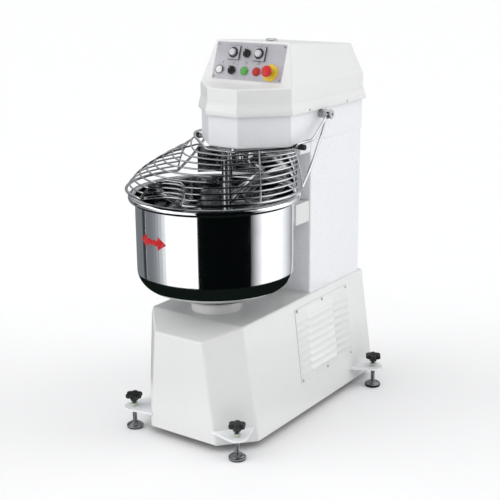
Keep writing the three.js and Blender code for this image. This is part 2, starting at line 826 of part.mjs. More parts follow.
// ---------- Bowl ----------
function bowlProfile() {
  const inner = bowlRadius - bowlWall;
  const flat = bowlRadius - bowlCorner;
  const rollCentre = bowlRadius + rollRadius - 1;
  const rollZ = bowlHeight - rollRadius;
  const profile = [[0, 0]];
  const cornerSteps = 4;
  for (let step = 0; step <= cornerSteps; step += 1) {
    const turn = (step / cornerSteps) * (Math.PI / 2);
    profile.push([flat + bowlCorner * Math.sin(turn), bowlCorner * (1 - Math.cos(turn))]);
  }
  const rollSteps = 6;
  const rollStart = THREE.MathUtils.degToRad(-165);
  const rollEnd = THREE.MathUtils.degToRad(90);
  for (let step = 0; step <= rollSteps; step += 1) {
    const turn = rollStart + (step / rollSteps) * (rollEnd - rollStart);
    profile.push([rollCentre + rollRadius * Math.cos(turn), rollZ + rollRadius * Math.sin(turn)]);
  }
  profile.push([inner + bowlWall, bowlHeight - bowlWall / 2]);
  profile.push([inner, bowlHeight - rollRadius / 2]);
  for (let step = cornerSteps; step >= 0; step -= 1) {
    const turn = (step / cornerSteps) * (Math.PI / 2);
    const radius = bowlCorner - bowlWall;
    profile.push([flat + radius * Math.sin(turn), bowlCorner - radius * Math.cos(turn)]);
  }
  profile.push([0, bowlWall]);
  return profile;
}

// The bowl's foot plate and its shaft, one turned piece.
function bowlSpindle() {
  const top = bowlZ - gap;
  const bottom = bowlPulleyZ - overrun;
  return turned([
    [0, bottom], [bowlShaftRadius, bottom], [bowlShaftRadius, top - flangeThickness - flangeBossDrop],
    [flangeBossRadius, top - flangeThickness], [flangeRadius, top - flangeThickness],
    [flangeRadius, top - flangeChamfer], [flangeRadius - flangeChamfer, top], [0, top],
  ]);
}

function bowlHousing() {
  const bore = holeRadius(bowlShaftRadius);
  return join(
    turned([
      [bore, deckZ + gap], [housingRadius, deckZ + gap], [housingRadius, deckZ + housingShoulder],
      [housingTopRadius, deckZ + housingHeight], [bore, deckZ + housingHeight], [bore, deckZ + gap],
    ]),
    tube(bore, housingTubeRadius, deckZ - housingTubeDepth, deckZ + overrun),
  );
}

add("bowl", turned(bowlProfile(), bowlFacets), "polished").position.set(0, bowlY, bowlZ);
add("bowl_spindle", bowlSpindle(), "steel").position.set(0, bowlY, 0);
add("bowl_bearing_housing", bowlHousing(), "white").position.set(0, bowlY, 0);

// ---------- Belt drives ----------
// A turned pulley: hub, thin web and rim with a lip each side of the belt.
function pulley(radius, shaftRadius, z0) {
  const bore = holeRadius(shaftRadius);
  const hub = bore + pulleyHub;
  const inside = radius - pulleyRim;
  const lip = radius + pulleyFlange;
  const z1 = z0 + pulleyWidth;
  return turned([
    [bore, z0], [lip, z0], [lip, z0 + pulleyFlangeThickness], [radius, z0 + pulleyFlangeThickness],
    [radius, z1 - pulleyFlangeThickness], [lip, z1 - pulleyFlangeThickness], [lip, z1], [inside, z1],
    [inside, z0 + pulleyWeb], [hub, z0 + pulleyWeb], [hub, z1], [bore, z1], [bore, z0],
  ]);
}

// A small pulley and the motor shaft it is keyed to, one piece here.
function motorPulley(radius, z0, shaftZ0, shaftZ1) {
  const lip = radius + pulleyFlange;
  const z1 = z0 + pulleyWidth;
  return turned([
    [0, Math.min(z0, shaftZ0)], [motorShaftRadius, Math.min(z0, shaftZ0)], [motorShaftRadius, z0], [lip, z0],
    [lip, z0 + pulleyFlangeThickness], [radius, z0 + pulleyFlangeThickness],
    [radius, z1 - pulleyFlangeThickness], [lip, z1 - pulleyFlangeThickness], [lip, z1],
    [motorShaftRadius, z1], [motorShaftRadius, shaftZ1], [0, shaftZ1],
  ]);
}

// Outline of a belt side round two pulleys on one line along Y.
function beltOutline(yA, radiusA, yB, radiusB) {
  const slope = Math.asin((radiusA - radiusB) / (yB - yA));
  const steps = round / 2;
  const points = [];
  const arcs = [[yB, radiusB, slope, Math.PI - slope], [yA, radiusA, Math.PI - slope, 2 * Math.PI + slope]];
  for (const [y, radius, from, to] of arcs) {
    for (let step = 0; step <= steps; step += 1) {
      const turn = from + (step / steps) * (to - from);
      points.push([radius * Math.cos(turn), y + radius * Math.sin(turn)]);
    }
  }
  return points;
}

function belt(yA, radiusA, yB, radiusB, pulleyZ) {
  const z0 = pulleyZ + pulleyFlangeThickness + gap;
  const z1 = pulleyZ + pulleyWidth - pulleyFlangeThickness - gap;
  const arcStep = (Math.PI + 2 * Math.asin((radiusA - radiusB) / (yB - yA))) / (round / 2);
  const clear = (radius) => (radius + gap) / Math.cos(arcStep / 2);
  return cut(
    prism(beltOutline(yA, clear(radiusA) + beltThickness, yB, clear(radiusB) + beltThickness), z0, z1),
    prism(beltOutline(yA, clear(radiusA), yB, clear(radiusB)), z0 - overrun, z1 + overrun),
  );
}

function bowlMotor() {
  return turned([
    [0, 0], [bowlMotorRadius - motorEndChamfer, 0], [bowlMotorRadius, motorEndHeight],
    [bowlMotorRadius, bowlMotorLength],
    [bowlMotorFlange, bowlMotorLength], [bowlMotorFlange, bowlMotorLength + motorPlateThickness],
    [0, bowlMotorLength + motorPlateThickness],
  ]);
}

function spiralMotor() {
  const flangeTop = spiralMotorLength + motorPlateThickness;
  return turned([
    [0, 0], [spiralMotorRadius - motorEndChamfer, 0], [spiralMotorRadius, motorEndHeight],
    [spiralMotorRadius, spiralMotorLength],
    [spiralMotorFlange, spiralMotorLength], [spiralMotorFlange, flangeTop], [motorNoseRadius, flangeTop],
    [motorNoseRadius, flangeTop + motorNoseHeight], [0, flangeTop + motorNoseHeight],
  ]);
}

const bowlPulley = pulley(bowlPulleyRadius, bowlShaftRadius, bowlPulleyZ);
add("bowl_pulley", bowlPulley, "castGrey").position.set(0, bowlY, 0);
add("bowl_motor", bowlMotor(), "castGrey").position.set(0, bowlMotorY, bowlMotorZ);
add(
  "bowl_motor_pulley",
  motorPulley(bowlMotorPulleyRadius, bowlPulleyZ, bowlPulleyZ - overrun, bowlMotorZ - gap),
  "steel",
).position.set(0, bowlMotorY, 0);
add("bowl_belt", belt(bowlY, bowlPulleyRadius, bowlMotorY, bowlMotorPulleyRadius, bowlPulleyZ), "rubber");

// ---------- Spiral drive ----------
function spindleHousing() {
  const bore = holeRadius(spindleRadius);
  const seatZ = headZ + sheet + gap;
  return join(
    tube(bore, spindleHousingRadius, hubFootZ + hookHubLength + hubHousingClearance, seatZ + overrun),
    tube(bore, spindleTubeRadius, seatZ, seatZ + spindleHousingHeight),
    tube(bore, spindleFlangeRadius, seatZ, seatZ + spindleFlangeThickness),
  );
}

add("spindle", cylinder(spindleRadius, spindleFootZ, spindleTopZ), "steel").position.set(0, spiralY, 0);
add("spindle_housing", spindleHousing(), "castGrey").position.set(0, spiralY, 0);
const spiralPulley = pulley(spiralPulleyRadius, spindleRadius, spiralPulleyZ);
add("spiral_pulley", spiralPulley, "castGrey").position.set(0, spiralY, 0);
add("spiral_motor", spiralMotor(), "castGrey").position.set(0, spiralMotorY, spiralMotorZ);
const spiralMotorNoseZ = spiralMotorZ + spiralMotorLength + motorPlateThickness + motorNoseHeight;
add(
  "spiral_motor_pulley",
  motorPulley(spiralMotorPulleyRadius, spiralPulleyZ, spiralMotorNoseZ + gap, spindleTopZ),
  "steel",
).position.set(0, spiralMotorY, 0);
const spiralBelt = belt(spiralY, spiralPulleyRadius, spiralMotorY, spiralMotorPulleyRadius, spiralPulleyZ);
add("spiral_belt", spiralBelt, "rubber");

// ---------- Spiral hook and centre post ----------
function spiralHook() {
  const reach = hookReach - hookBar;
  const startZ = hubFootZ + hookBar;
  const footZ = bowlZ + bowlWall + hookFloorClearance + hookBar;
  const points = [new THREE.Vector3(0, 0, startZ)];
  for (let station = 1; station <= hookStations; station += 1) {
    const share = station / hookStations;
    const turn = share * hookTurns * 2 * Math.PI;
    const opening = Math.min(1, station / hookSweep, hookFootOpening + (hookStations - station) / hookSweep);
    const radius = reach * Math.sin((opening * Math.PI) / 2);
    const z = THREE.MathUtils.lerp(startZ, footZ, Math.min(1, share * hookLevelling));
    points.push(new THREE.Vector3(radius * Math.cos(turn), radius * Math.sin(turn), z));
  }
  const hub = cylinder(hookHubRadius, hubFootZ, hubFootZ + hookHubLength);
  const bore = cylinder(holeRadius(spindleRadius), spindleFootZ - gap, hubFootZ + hookHubLength + overrun);
  return cut(join(hub, bar(points, hookBar, hookStations * 2, 8)), bore);
}

function centrePost() {
  const top = headZ - gap;
  const foot = bowlZ + bowlWall + postFloorClearance;
  return turned([
    [0, foot], [postTipRadius, foot], [postRadius, foot + postTipHeight],
    [postRadius, top - postCollarHeight], [postCollarRadius, top - postCollarHeight],
    [postCollarRadius, top], [0, top],
  ]);
}

add("spiral_hook", spiralHook(), "polished").position.set(0, spiralY, 0);
add("centre_post", centrePost(), "polished").position.set(0, postY, 0);

// ---------- Rear shield and guide roller ----------
function rearShield() {
  const z0 = rimZ + shieldLift;
  const z1 = headZ - stepDrop - gap;
  const shape = new THREE.Shape();
  const middle = Math.PI / 2;
  shape.absarc(0, bowlY, shieldRadius + trim, middle - shieldHalfAngle, middle + shieldHalfAngle, false);
  shape.absarc(0, bowlY, shieldRadius, middle + shieldHalfAngle, middle - shieldHalfAngle, true);
  const curved = new THREE.ExtrudeGeometry(shape, { depth: z1 - z0, bevelEnabled: false, curveSegments: 12 });
  const wall = curved.translate(0, 0, z0);
  const tabRootY = bowlY + shieldRadius * Math.cos((shieldTabHalfSpacing + shieldTabSize) / shieldRadius);
  const tabs = [-1, 1].map((side) => box(
    side * shieldTabHalfSpacing - shieldTabSize / 2, side * shieldTabHalfSpacing + shieldTabSize / 2,
    tabRootY, columnFrontY - gap, z0 + shieldTabSize, z0 + 2 * shieldTabSize,
  ));
  const inside = cylinder(shieldRadius, z0 - overrun, z1 + overrun, bowlFacets).translate(0, bowlY, 0);
  return join(wall, cut(join(...tabs), inside));
}

const rollerReach = bowlRadius + gap + rollerRadius;
const rollerY = bowlY + Math.sqrt(rollerReach ** 2 - rollerX ** 2);
const rollerBoxZ = rimZ - rollerBoxTopDrop - rollerBoxHeight;
const rollerZ = rollerBoxZ + (rollerBoxHeight - rollerHeight) / 2;

function rollerBox() {
  const boxTopZ = rollerBoxZ + rollerBoxHeight;
  const rollerTopZ = rollerZ + rollerHeight;
  const pocket = cylinder(rollerRadius + rollerClearance, rollerZ - gap, rollerTopZ + gap);
  const bowlSweep = cylinder(bowlRadius + rollerClearance, rollerBoxZ - overrun, boxTopZ + overrun, bowlFacets);
  const pin = cylinder(rollerPinRadius, rollerZ - overrun, rollerTopZ + overrun, small);
  pocket.translate(rollerX, rollerY, 0);
  const body = box(
    rollerX - rollerBoxHalfWidth, rollerX + rollerBoxHalfWidth, rollerY - rollerRadius, columnFrontY - gap,
    rollerBoxZ, boxTopZ,
  );
  return join(cut(body, pocket, bowlSweep.translate(0, bowlY, 0)), pin.translate(rollerX, rollerY, 0));
}

add("rear_shield", rearShield(), "polished");
add("roller_box", rollerBox(), "white");
add(
  "guide_roller",
  tube(holeRadius(rollerPinRadius, small), rollerRadius, rollerZ, rollerZ + rollerHeight, bowlFacets / 2),
  "rubber",
).position.set(rollerX, rollerY, 0);

// ---------- Wire guard ----------
// The upper bar goes round the nose: front stretch, then one slanting stretch each side.
function barPoint(share) {
  const side = Math.sign(share) || 1;
  const slantLength = Math.hypot(barEndX - barHalfWidth, barEndY - noseY + barClearance);
  const along = Math.abs(share) * (barHalfWidth + slantLength);
  const frontX = side * Math.min(along, barHalfWidth);
  const front = new THREE.Vector3(frontX, noseY - barClearance, headZ - barDrop);
  const end = new THREE.Vector3(side * barEndX, barEndY, headZ + barEndRise);
  const slant = Math.max(0, along - barHalfWidth) / slantLength;
  return front.lerp(end, slant);
}

// Stations along the upper bar, from end to end, closer together round its two bends.
const barShares = [-1, -0.6, -0.26, -0.2, 0, 0.2, 0.26, 0.6, 1];

function ringPoint(angle) {
  return new THREE.Vector3(guardRadius * Math.sin(angle), bowlY - guardRadius * Math.cos(angle), guardZ);
}

// A point on the dome: depth 0 is the upper bar, depth 1 the lower ring.
function domePoint(angle, depth) {
  const top = barPoint(angle / guardHalfAngle);
  const foot = ringPoint(angle);
  const turn = depth * (Math.PI / 2);
  const outward = THREE.MathUtils.lerp(Math.sin(turn), depth, domeSoftness);
  const height = THREE.MathUtils.lerp(Math.cos(turn), 1 - depth, domeSoftness);
  return new THREE.Vector3(
    THREE.MathUtils.lerp(top.x, foot.x, outward),
    THREE.MathUtils.lerp(top.y, foot.y, outward),
    THREE.MathUtils.lerp(foot.z, top.z, height),
  );
}

// Angle at which a dome wire meets the side of the loading pocket, or 0 where it passes behind it.
function pocketAngle(depth) {
  const distance = (angle) => {
    const point = domePoint(angle, depth);
    return Math.hypot(point.x, point.y - bowlY + guardRadius);
  };
  if (distance(0) >= pocketRadius) return 0;
  let inside = 0;
  let outside = guardHalfAngle / 2;
  for (let halving = 0; halving < 30; halving += 1) {
    const middle = (inside + outside) / 2;
    if (distance(middle) < pocketRadius) inside = middle;
    else outside = middle;
  }
  return inside;
}

// One dome wire from end to end, bent inward round the pocket where it meets it.
function domeWire(depth) {
  const stations = 9;
  const meet = pocketAngle(depth);
  const left = [];
  for (let station = 0; station <= stations; station += 1) {
    left.push(domePoint(THREE.MathUtils.lerp(-guardHalfAngle, -meet, station / stations), depth));
  }
  const right = left.map((point) => new THREE.Vector3(-point.x, point.y, point.z)).reverse();
  const bend = [];
  if (meet > 0) {
    const corner = right[0];
    const centreY = bowlY - guardRadius;
    const from = Math.atan2(corner.y - centreY, -corner.x);
    const to = Math.atan2(corner.y - centreY, corner.x);
    const arcSteps = 8;
    for (let step = 1; step < arcSteps; step += 1) {
      const turn = THREE.MathUtils.lerp(from, to, step / arcSteps);
      bend.push(new THREE.Vector3(
        pocketRadius * Math.cos(turn), centreY + pocketRadius * Math.sin(turn), corner.z,
      ));
    }
  } else {
    right.shift();
  }
  return [...left, ...bend, ...right];
}

// The arch where the pocket's wall meets the dome.
function pocketArch() {
  const side = [];
  const stations = 10;
  let top = 1;
  while (pocketAngle(top) > 0) top -= 0.01;
  for (let station = 0; station <= stations; station += 1) {
    const depth = THREE.MathUtils.lerp(1, top + 0.02, Math.sin((station / stations) * (Math.PI / 2)));
    side.push(domePoint(-pocketAngle(depth), depth));
  }
  return [...side, ...side.map((point) => new THREE.Vector3(-point.x, point.y, point.z)).reverse()];
}

function rib(angle) {
  const stations = 6;
  const points = [];
  for (let station = 0; station <= stations; station += 1) points.push(domePoint(angle, station / stations));
  return points;
}

// Heavy rod of one side: from the upper bar back over the rest peg to the pivot, and down to the ring's end.
function guardArms(side) {
  const eyeSide = new THREE.Vector3(side * armX, pivotY, pivotZ);
  const upper = [
    barPoint(side * barJoinShare), barPoint(side),
    new THREE.Vector3(side * (armX - armBendX), barEndY + armBendY, armRestZ - armBendDrop),
    new THREE.Vector3(side * armX, pegY, armRestZ),
    new THREE.Vector3(side * armX, pegY + armStraight, armRestZ),
    eyeSide,
  ];
  const lower = [
    eyeSide,
    new THREE.Vector3(side * (armX + armLowOut), pivotY - armLowSetback, headZ + armLowRise),
    new THREE.Vector3(side * (armX + armBow), pivotY - armBowSetback, guardZ + armBowRise),
    ringPoint(side * guardHalfAngle),
  ];
  return [bar(upper, rodRadius, 14), bar(lower, rodRadius, 10)];
}

function pivotEye(side) {
  const start = columnHalfWidth + gap + pivotBossLength + gap;
  return tube(holeRadius(pivotPinRadius, small), pivotBossRadius, start, start + pivotEyeLength, small)
    .rotateY(side * Math.PI / 2).translate(0, pivotY, pivotZ);
}

function wireGuard() {
  const ringStations = [...domeWire(1)];
  const rods = [bar(ringStations, rodRadius, 36)];
  rods.push(bar(barShares.map(barPoint), rodRadius, 18));
  rods.push(bar(pocketArch(), wireRadius, 22, wireSides));
  for (let wire = 1; wire <= guardWires; wire += 1) {
    const depth = wire / (guardWires + 1);
    rods.push(bar(domeWire(depth), wireRadius, pocketAngle(depth) > 0 ? 30 : 16, wireSides));
  }
  for (const angle of [-guardHalfAngle, -guardRibAngle, guardRibAngle, guardHalfAngle]) {
    rods.push(bar(rib(angle), wireRadius, 8, wireSides));
  }
  for (const side of [-1, 1]) rods.push(...guardArms(side), pivotEye(side));
  const boreEnd = columnHalfWidth + pivotBossLength + 2 * pivotEyeLength;
  const boreRadius = holeRadius(pivotPinRadius, small);
  const bores = [-1, 1].map((side) => cylinder(boreRadius, columnHalfWidth, boreEnd, small)
    .rotateY(side * Math.PI / 2).translate(0, pivotY, pivotZ));
  return cut(join(...rods), ...bores);
}

// Boss, pin and outer head of one pivot, along +Z from the head's side.
function guardPivot() {
  const start = columnHalfWidth + gap;
  const eyeEnd = start + pivotBossLength + gap + pivotEyeLength + gap;
  return turned([
    [0, start], [pivotBossRadius, start], [pivotBossRadius, start + pivotBossLength],
    [pivotPinRadius, start + pivotBossLength], [pivotPinRadius, eyeEnd], [pivotBossRadius, eyeEnd],
    [pivotBossRadius, eyeEnd + pivotHeadLength], [0, eyeEnd + pivotHeadLength],
  ], small);
}

function restPeg() {
  const start = columnHalfWidth + gap;
  return cylinder(pegRadius, start, start + pegLength, small);
}

function pegCap() {
  const end = columnHalfWidth + gap + pegLength;
  const mouth = end - pegCapLength + gap;
  const bore = holeRadius(pegRadius, small);
  return turned([
    [bore, mouth], [pegCapRadius, mouth], [pegCapRadius, end + pegCapEnd], [0, end + pegCapEnd],
    [0, end + gap], [bore, end + gap], [bore, mouth],
  ], small);
}

add("wire_guard", wireGuard(), "polished");
for (const [side, sideName] of [[-1, "left"], [1, "right"]]) {
  const turnOut = side * Math.PI / 2;
  const pivot = add(`guard_pivot_${sideName}`, guardPivot(), "steel");
  pivot.rotation.y = turnOut;
  pivot.position.set(0, pivotY, pivotZ);
  const peg = add(`rest_peg_${sideName}`, restPeg(), "steel");
  peg.rotation.y = turnOut;
  peg.position.set(0, pegY, pegZ);
  const cap = add(`peg_cap_${sideName}`, pegCap(), "rubber");
  cap.rotation.y = turnOut;
  cap.position.set(0, pegY, pegZ);
}

export default mixer;
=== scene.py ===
import math

import bmesh
import bpy
from mathutils import Matrix, Vector


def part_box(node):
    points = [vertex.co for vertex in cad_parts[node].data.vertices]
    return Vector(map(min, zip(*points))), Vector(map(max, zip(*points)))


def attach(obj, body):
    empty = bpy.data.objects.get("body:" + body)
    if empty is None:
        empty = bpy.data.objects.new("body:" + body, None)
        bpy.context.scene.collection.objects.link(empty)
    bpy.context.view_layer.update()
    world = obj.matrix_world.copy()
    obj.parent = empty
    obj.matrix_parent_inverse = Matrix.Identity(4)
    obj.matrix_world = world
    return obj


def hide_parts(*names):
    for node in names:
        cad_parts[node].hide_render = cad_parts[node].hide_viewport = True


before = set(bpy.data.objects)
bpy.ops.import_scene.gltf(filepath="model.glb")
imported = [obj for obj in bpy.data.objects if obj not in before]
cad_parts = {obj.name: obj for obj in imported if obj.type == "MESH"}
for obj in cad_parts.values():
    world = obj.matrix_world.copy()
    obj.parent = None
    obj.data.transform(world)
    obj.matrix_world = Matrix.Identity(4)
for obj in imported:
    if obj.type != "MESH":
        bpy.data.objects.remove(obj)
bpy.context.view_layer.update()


# ---------- Camera ----------
# Stands in front and to the right of the mixer, a little above the bowl, looking slightly down at it.
camera_turn = math.radians(35.0)
camera_drop = math.radians(15.99)
camera_roll = -0.008
camera_distance = 3.9
camera_aim = Vector((-0.0006, 0.0066, 0.5992))

lens = bpy.data.cameras.new("camera")
lens.lens = 77.24
lens.sensor_width = 36.0
lens.clip_end = 200.0
camera = bpy.data.objects.new("camera", lens)
bpy.context.scene.collection.objects.link(camera)
turned_to_mixer = (
    Matrix.Rotation(camera_turn, 4, "Z")
    @ Matrix.Rotation(math.pi / 2 - camera_drop, 4, "X")
    @ Matrix.Rotation(camera_roll, 4, "Z")
)
camera.matrix_world = Matrix.Translation(camera_aim) @ turned_to_mixer @ Matrix.Translation(
    (0, 0, camera_distance)
)
bpy.context.scene.camera = camera


# ---------- Studio ----------
# A pale floor, a white surround, and four broad soft lights: left, front, right and overhead. Glowing dark
# and bright cards that only reflections see stand round, under and over the bowl: painted reflections on
# its steel.
class Reading:
    """One shader socket that takes part in sums, as a number or a mask does."""

    def __init__(self, finish, socket):
        self.finish = finish
        self.socket = socket

    def sum(self, operation, *values):
        return self.finish.node("ShaderNodeMath", {"operation": operation}, values)

    def __add__(self, other):
        return self.sum("ADD", self, other)

    def __radd__(self, other):
        return self.sum("ADD", other, self)

    def __sub__(self, other):
        return self.sum("SUBTRACT", self, other)

    def __rsub__(self, other):
        return self.sum("SUBTRACT", other, self)

    def __mul__(self, other):
        return self.sum("MULTIPLY", self, other)

    def __rmul__(self, other):
        return self.sum("MULTIPLY", other, self)

    def ramp(self, low, high):
        """This reading spread from 0 at low to 1 at high, held between them."""
        return self.finish.node("ShaderNodeMapRange", {"clamp": True}, (self, low, high, 0.0, 1.0))


class Finish:
    """A paint, metal, rubber or plastic, built node by node on one Principled surface."""

    def __init__(self, name, fixed):
        self.material = bpy.data.materials.new(name)
        self.material.use_nodes = True
        self.tree = self.material.node_tree
        self.surface = self.tree.nodes["Principled BSDF"]
        for socket, value in fixed.items():
            self.give(self.surface.inputs[socket], value)
        self.place = self.node("ShaderNodeTexCoord", out="Object")

    def node(self, kind, settings=None, sockets=(), out=0):
        """Any other node: its type, its settings, its sockets by order or by name, and the output."""
        made = self.tree.nodes.new(kind)
        for name, value in (settings or {}).items():
            setattr(made, name, value)
        for key, value in sockets.items() if isinstance(sockets, dict) else enumerate(sockets):
            self.give(made.inputs[key], value)
        return Reading(self, made.outputs[out])

    def give(self, socket, value):
        if isinstance(value, Reading):
            self.tree.links.new(value.socket, socket)
        elif socket.type == "RGBA":
            socket.default_value = (*value, 1)
        else:
            socket.default_value = value

    def feed(self, **sockets):
        for name, value in sockets.items():
            self.give(self.surface.inputs[name.replace("_", " ")], value)

    def stretched(self, x, y, z):
        """The piece's own coordinates in metres, scaled differently along each axis."""
        return self.node("ShaderNodeVectorMath", {"operation": "MULTIPLY"}, (self.place, (x, y, z)))

    def noise(self, size, detail=3.0, rough=0.5, at=None):
        """Cloudy noise between 0 and 1 whose features are about size metres across."""
        sockets = {"Vector": at or self.place, "Scale": 1 / size, "Detail": detail, "Roughness": rough}
        return self.node("ShaderNodeTexNoise", sockets=sockets)

    def mixed(self, amount, first, second):
        return self.node("ShaderNodeMix", {"data_type": "RGBA"}, {0: amount, 6: first, 7: second}, out=2)

    def raised(self, height, depth, strength=1.0):
        """Feeds the surface's normal with a bump of that height, depth metres tall."""
        bump = self.node(
            "ShaderNodeBump", sockets={"Strength": strength, "Distance": depth, "Height": height},
        )
        self.feed(Normal=bump)

    def edges(self, low=0.51, high=0.58):
        """1 on worn outer edges and 0 on flats, broken up by noise."""
        sharp = self.node("ShaderNodeNewGeometry", out="Pointiness").ramp(low, high)
        return sharp * self.noise(0.01, 4.0).ramp(0.42, 0.62)


def studio_mesh(name, verts, faces):
    mesh = bpy.data.meshes.new(name)
    mesh.from_pydata(verts, [], faces)
    piece = bpy.data.objects.new(name, mesh)
    bpy.context.scene.collection.objects.link(piece)
    return piece


floor_reach = 60.0
floor = studio_mesh(
    "studio_floor",
    [(-floor_reach, -floor_reach, 0), (floor_reach, -floor_reach, 0),
     (floor_reach, floor_reach, 0), (-floor_reach, floor_reach, 0)],
    [(0, 1, 2, 3)],
)
floor_paint = Finish("floor_paint", {
    "Base Color": (0.93, 0.93, 0.935), "Roughness": 0.8, "Specular IOR Level": 0.1,
})
floor.data.materials.append(floor_paint.material)

surround = bpy.data.worlds.new("surround")
surround.use_nodes = True
surround.node_tree.nodes["Background"].inputs["Color"].default_value = (0.99, 0.995, 1.0, 1)
surround.node_tree.nodes["Background"].inputs["Strength"].default_value = 0.58
bpy.context.scene.world = surround
bpy.context.scene.view_settings.view_transform = "Standard"


def soft_light(name, from_side, strength, softness):
    """A broad soft light shining on everything alike from one side."""
    light = bpy.data.lights.new(name, "SUN")
    light.energy = strength
    light.angle = math.radians(softness)
    lamp = bpy.data.objects.new(name, light)
    lamp.rotation_euler = (-Vector(from_side)).to_track_quat("-Z", "Y").to_euler()
    bpy.context.scene.collection.objects.link(lamp)


soft_light("light_left", (-0.75, -0.5, 0.5), 0.85, 50)
soft_light("light_front", (-0.30, -0.95, 0.10), 0.65, 60)
soft_light("light_right", (0.8, 0.6, 0.45), 0.85, 50)
soft_light("light_overhead", (0.1, -0.2, 1.0), 0.75, 70)


def only_reflected(piece, shade):
    """Gives a studio card an even glow that nothing but a glossy surface sees: a painted reflection."""
    card_finish = Finish(piece.name, {})
    glow = card_finish.node("ShaderNodeEmission", sockets={"Color": shade})
    card_finish.give(card_finish.tree.nodes["Material Output"].inputs["Surface"], glow)
    piece.data.materials.append(card_finish.material)
    piece.visible_camera = False
    piece.visible_diffuse = False
    piece.visible_shadow = False
    piece.visible_transmission = False


bowl_low, bowl_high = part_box("bowl")
bowl_axis = Vector(((bowl_low.x + bowl_high.x) / 2, (bowl_low.y + bowl_high.y) / 2, 0))


def card(name, from_turn, to_turn, distance, shade, top=1.2):
    """A curved upright card that only reflections see; turns are degrees right of the camera."""
    steps = 12
    verts, faces = [], []
    for step in range(steps + 1):
        turn = camera_turn - math.pi / 2 + math.radians(from_turn + (to_turn - from_turn) * step / steps)
        spot = bowl_axis + distance * Vector((math.cos(turn), math.sin(turn), 0))
        verts += [(spot.x, spot.y, 0), (spot.x, spot.y, top)]
        if step:
            faces.append((2 * step - 2, 2 * step, 2 * step + 1, 2 * step - 1))
    only_reflected(studio_mesh(name, verts, faces), shade)


def faded_cards(name, from_turn, to_turn, distance, near_shade, far_shade, bend=1.0):
    """A row of narrow cards whose shades run evenly from one end to the other."""
    strips = 8
    for strip in range(strips):
        share = (strip / (strips - 1)) ** bend
        shade = tuple(near + (far - near) * share for near, far in zip(near_shade, far_shade))
        width = (to_turn - from_turn) / strips
        start = from_turn + width * strip
        card(f"{name}_{strip}", start, start + width, distance, shade)


def ring_card(name, inner, outer, height, shade):
    """A flat ring round the bowl's axis that only reflections see."""
    steps = 48
    verts, faces = [], []
    for step in range(steps):
        turn = 2 * math.pi * step / steps
        for reach in (inner, outer):
            verts.append((reach * math.cos(turn), bowl_axis.y + reach * math.sin(turn), height))
        following = (step + 1) % steps
        faces.append((2 * step, 2 * step + 1, 2 * following + 1, 2 * following))
    only_reflected(studio_mesh(name, verts, faces), shade)


# Painted reflections: these glowing cards set the black front band, the bright and grey side bands with
# their fades and dark lines, and the green-black of the bowl's lower corner.
black_card, green_black_card = (0.002, 0.003, 0.003), (0.006, 0.010, 0.008)
grey_card, bright_card = (0.20, 0.21, 0.23), (1.35, 1.36, 1.38)
card("card_dark_front", -21, 47, 1.5, black_card, 2.6)
card("card_bright_left", -62, -21, 1.6, bright_card)
faded_cards("card_fade_left", -108, -62, 1.6, grey_card, bright_card, 3.2)
card("card_line_left", -117, -108, 1.5, (0.05, 0.06, 0.06))
card("card_grey_left", -180, -117, 1.6, grey_card)
faded_cards("card_fade_front", 47, 70, 1.6, black_card, bright_card)
card("card_bright_right", 70, 98, 1.6, bright_card)
faded_cards("card_fade_right", 98, 146, 1.6, bright_card, grey_card)
card("card_line_right", 146, 150, 1.5, (0.10, 0.11, 0.11))
card("card_grey_right", 150, 180, 1.6, (0.45, 0.46, 0.47))
ring_card("card_under_bowl", 0.215, 0.50, 0.4435, green_black_card)
ring_card("card_on_floor", 0.50, 1.62, 0.004, green_black_card)
# Painted reflection: a green-black card overhead darkens what the guard, the hook and the bowl's inside
# reflect from above.
ceiling = studio_mesh(
    "card_over_bowl", [(-0.7, -1.2, 1.45), (0.7, -1.2, 1.45), (0.7, -0.02, 1.45), (-0.7, -0.02, 1.45)],
    [(0, 1, 2, 3)],
)
only_reflected(ceiling, green_black_card)


# ---------- Pedestal casing ----------
# Folded and welded sheet steel, 3 mm thick, open underneath, with rounded folds and a white powder coat.
# The right side has a large opening for the drive, closed by the louvred access panel.
def powder_coat(name, colour, dirt):
    """Baked powder coat: fine orange peel, faint clouding, thin grey rub marks on its folds."""
    finish = Finish(name, {"IOR": 1.5, "Coat Roughness": 0.12})
    cloud = finish.noise(0.16, 4.0)
    grime = finish.noise(0.035, 5.0).ramp(0.58, 0.8) * dirt
    base = finish.mixed(cloud * 0.5, colour, tuple(value * 0.965 for value in colour))
    base = finish.mixed(grime, base, (0.62, 0.61, 0.58))
    base = finish.mixed(finish.edges() * 0.12, base, (0.55, 0.56, 0.58))
    finish.feed(Base_Color=base, Roughness=finish.noise(0.012) * 0.12 + 0.27, Coat_Weight=cloud * 0.2 + 0.1)
    finish.raised(finish.noise(0.0012, 1.0), 0.00003, 0.12)
    return finish.material


# The machine has one white coat. The pedestal, access cover and hood get a darker, greyer copy as painted
# shade; the column, back cover, head and foot brackets a lighter, bluer copy as painted light.
white_coat_painted_shade = powder_coat("white_coat_darker_painted_shade", (0.785, 0.787, 0.785), 0.12)
white_coat_painted_light = powder_coat("white_coat_lighter_painted_light", (0.85, 0.865, 0.89), 0.1)


def piece_from(name, bm, finish, smooth_under=35.0):
    """A mesh object from a bmesh, smooth over soft folds and crisp over sharp ones, in one finish."""
    bmesh.ops.recalc_face_normals(bm, faces=bm.faces)
    for face in bm.faces:
        face.smooth = True
    for edge in bm.edges:
        edge.smooth = len(edge.link_faces) == 2 and edge.calc_face_angle(0.0) < math.radians(smooth_under)
    mesh = bpy.data.meshes.new(name)
    bm.to_mesh(mesh)
    bm.free()
    mesh.materials.append(finish)
    piece = bpy.data.objects.new(name, mesh)
    bpy.context.scene.collection.objects.link(piece)
    return piece


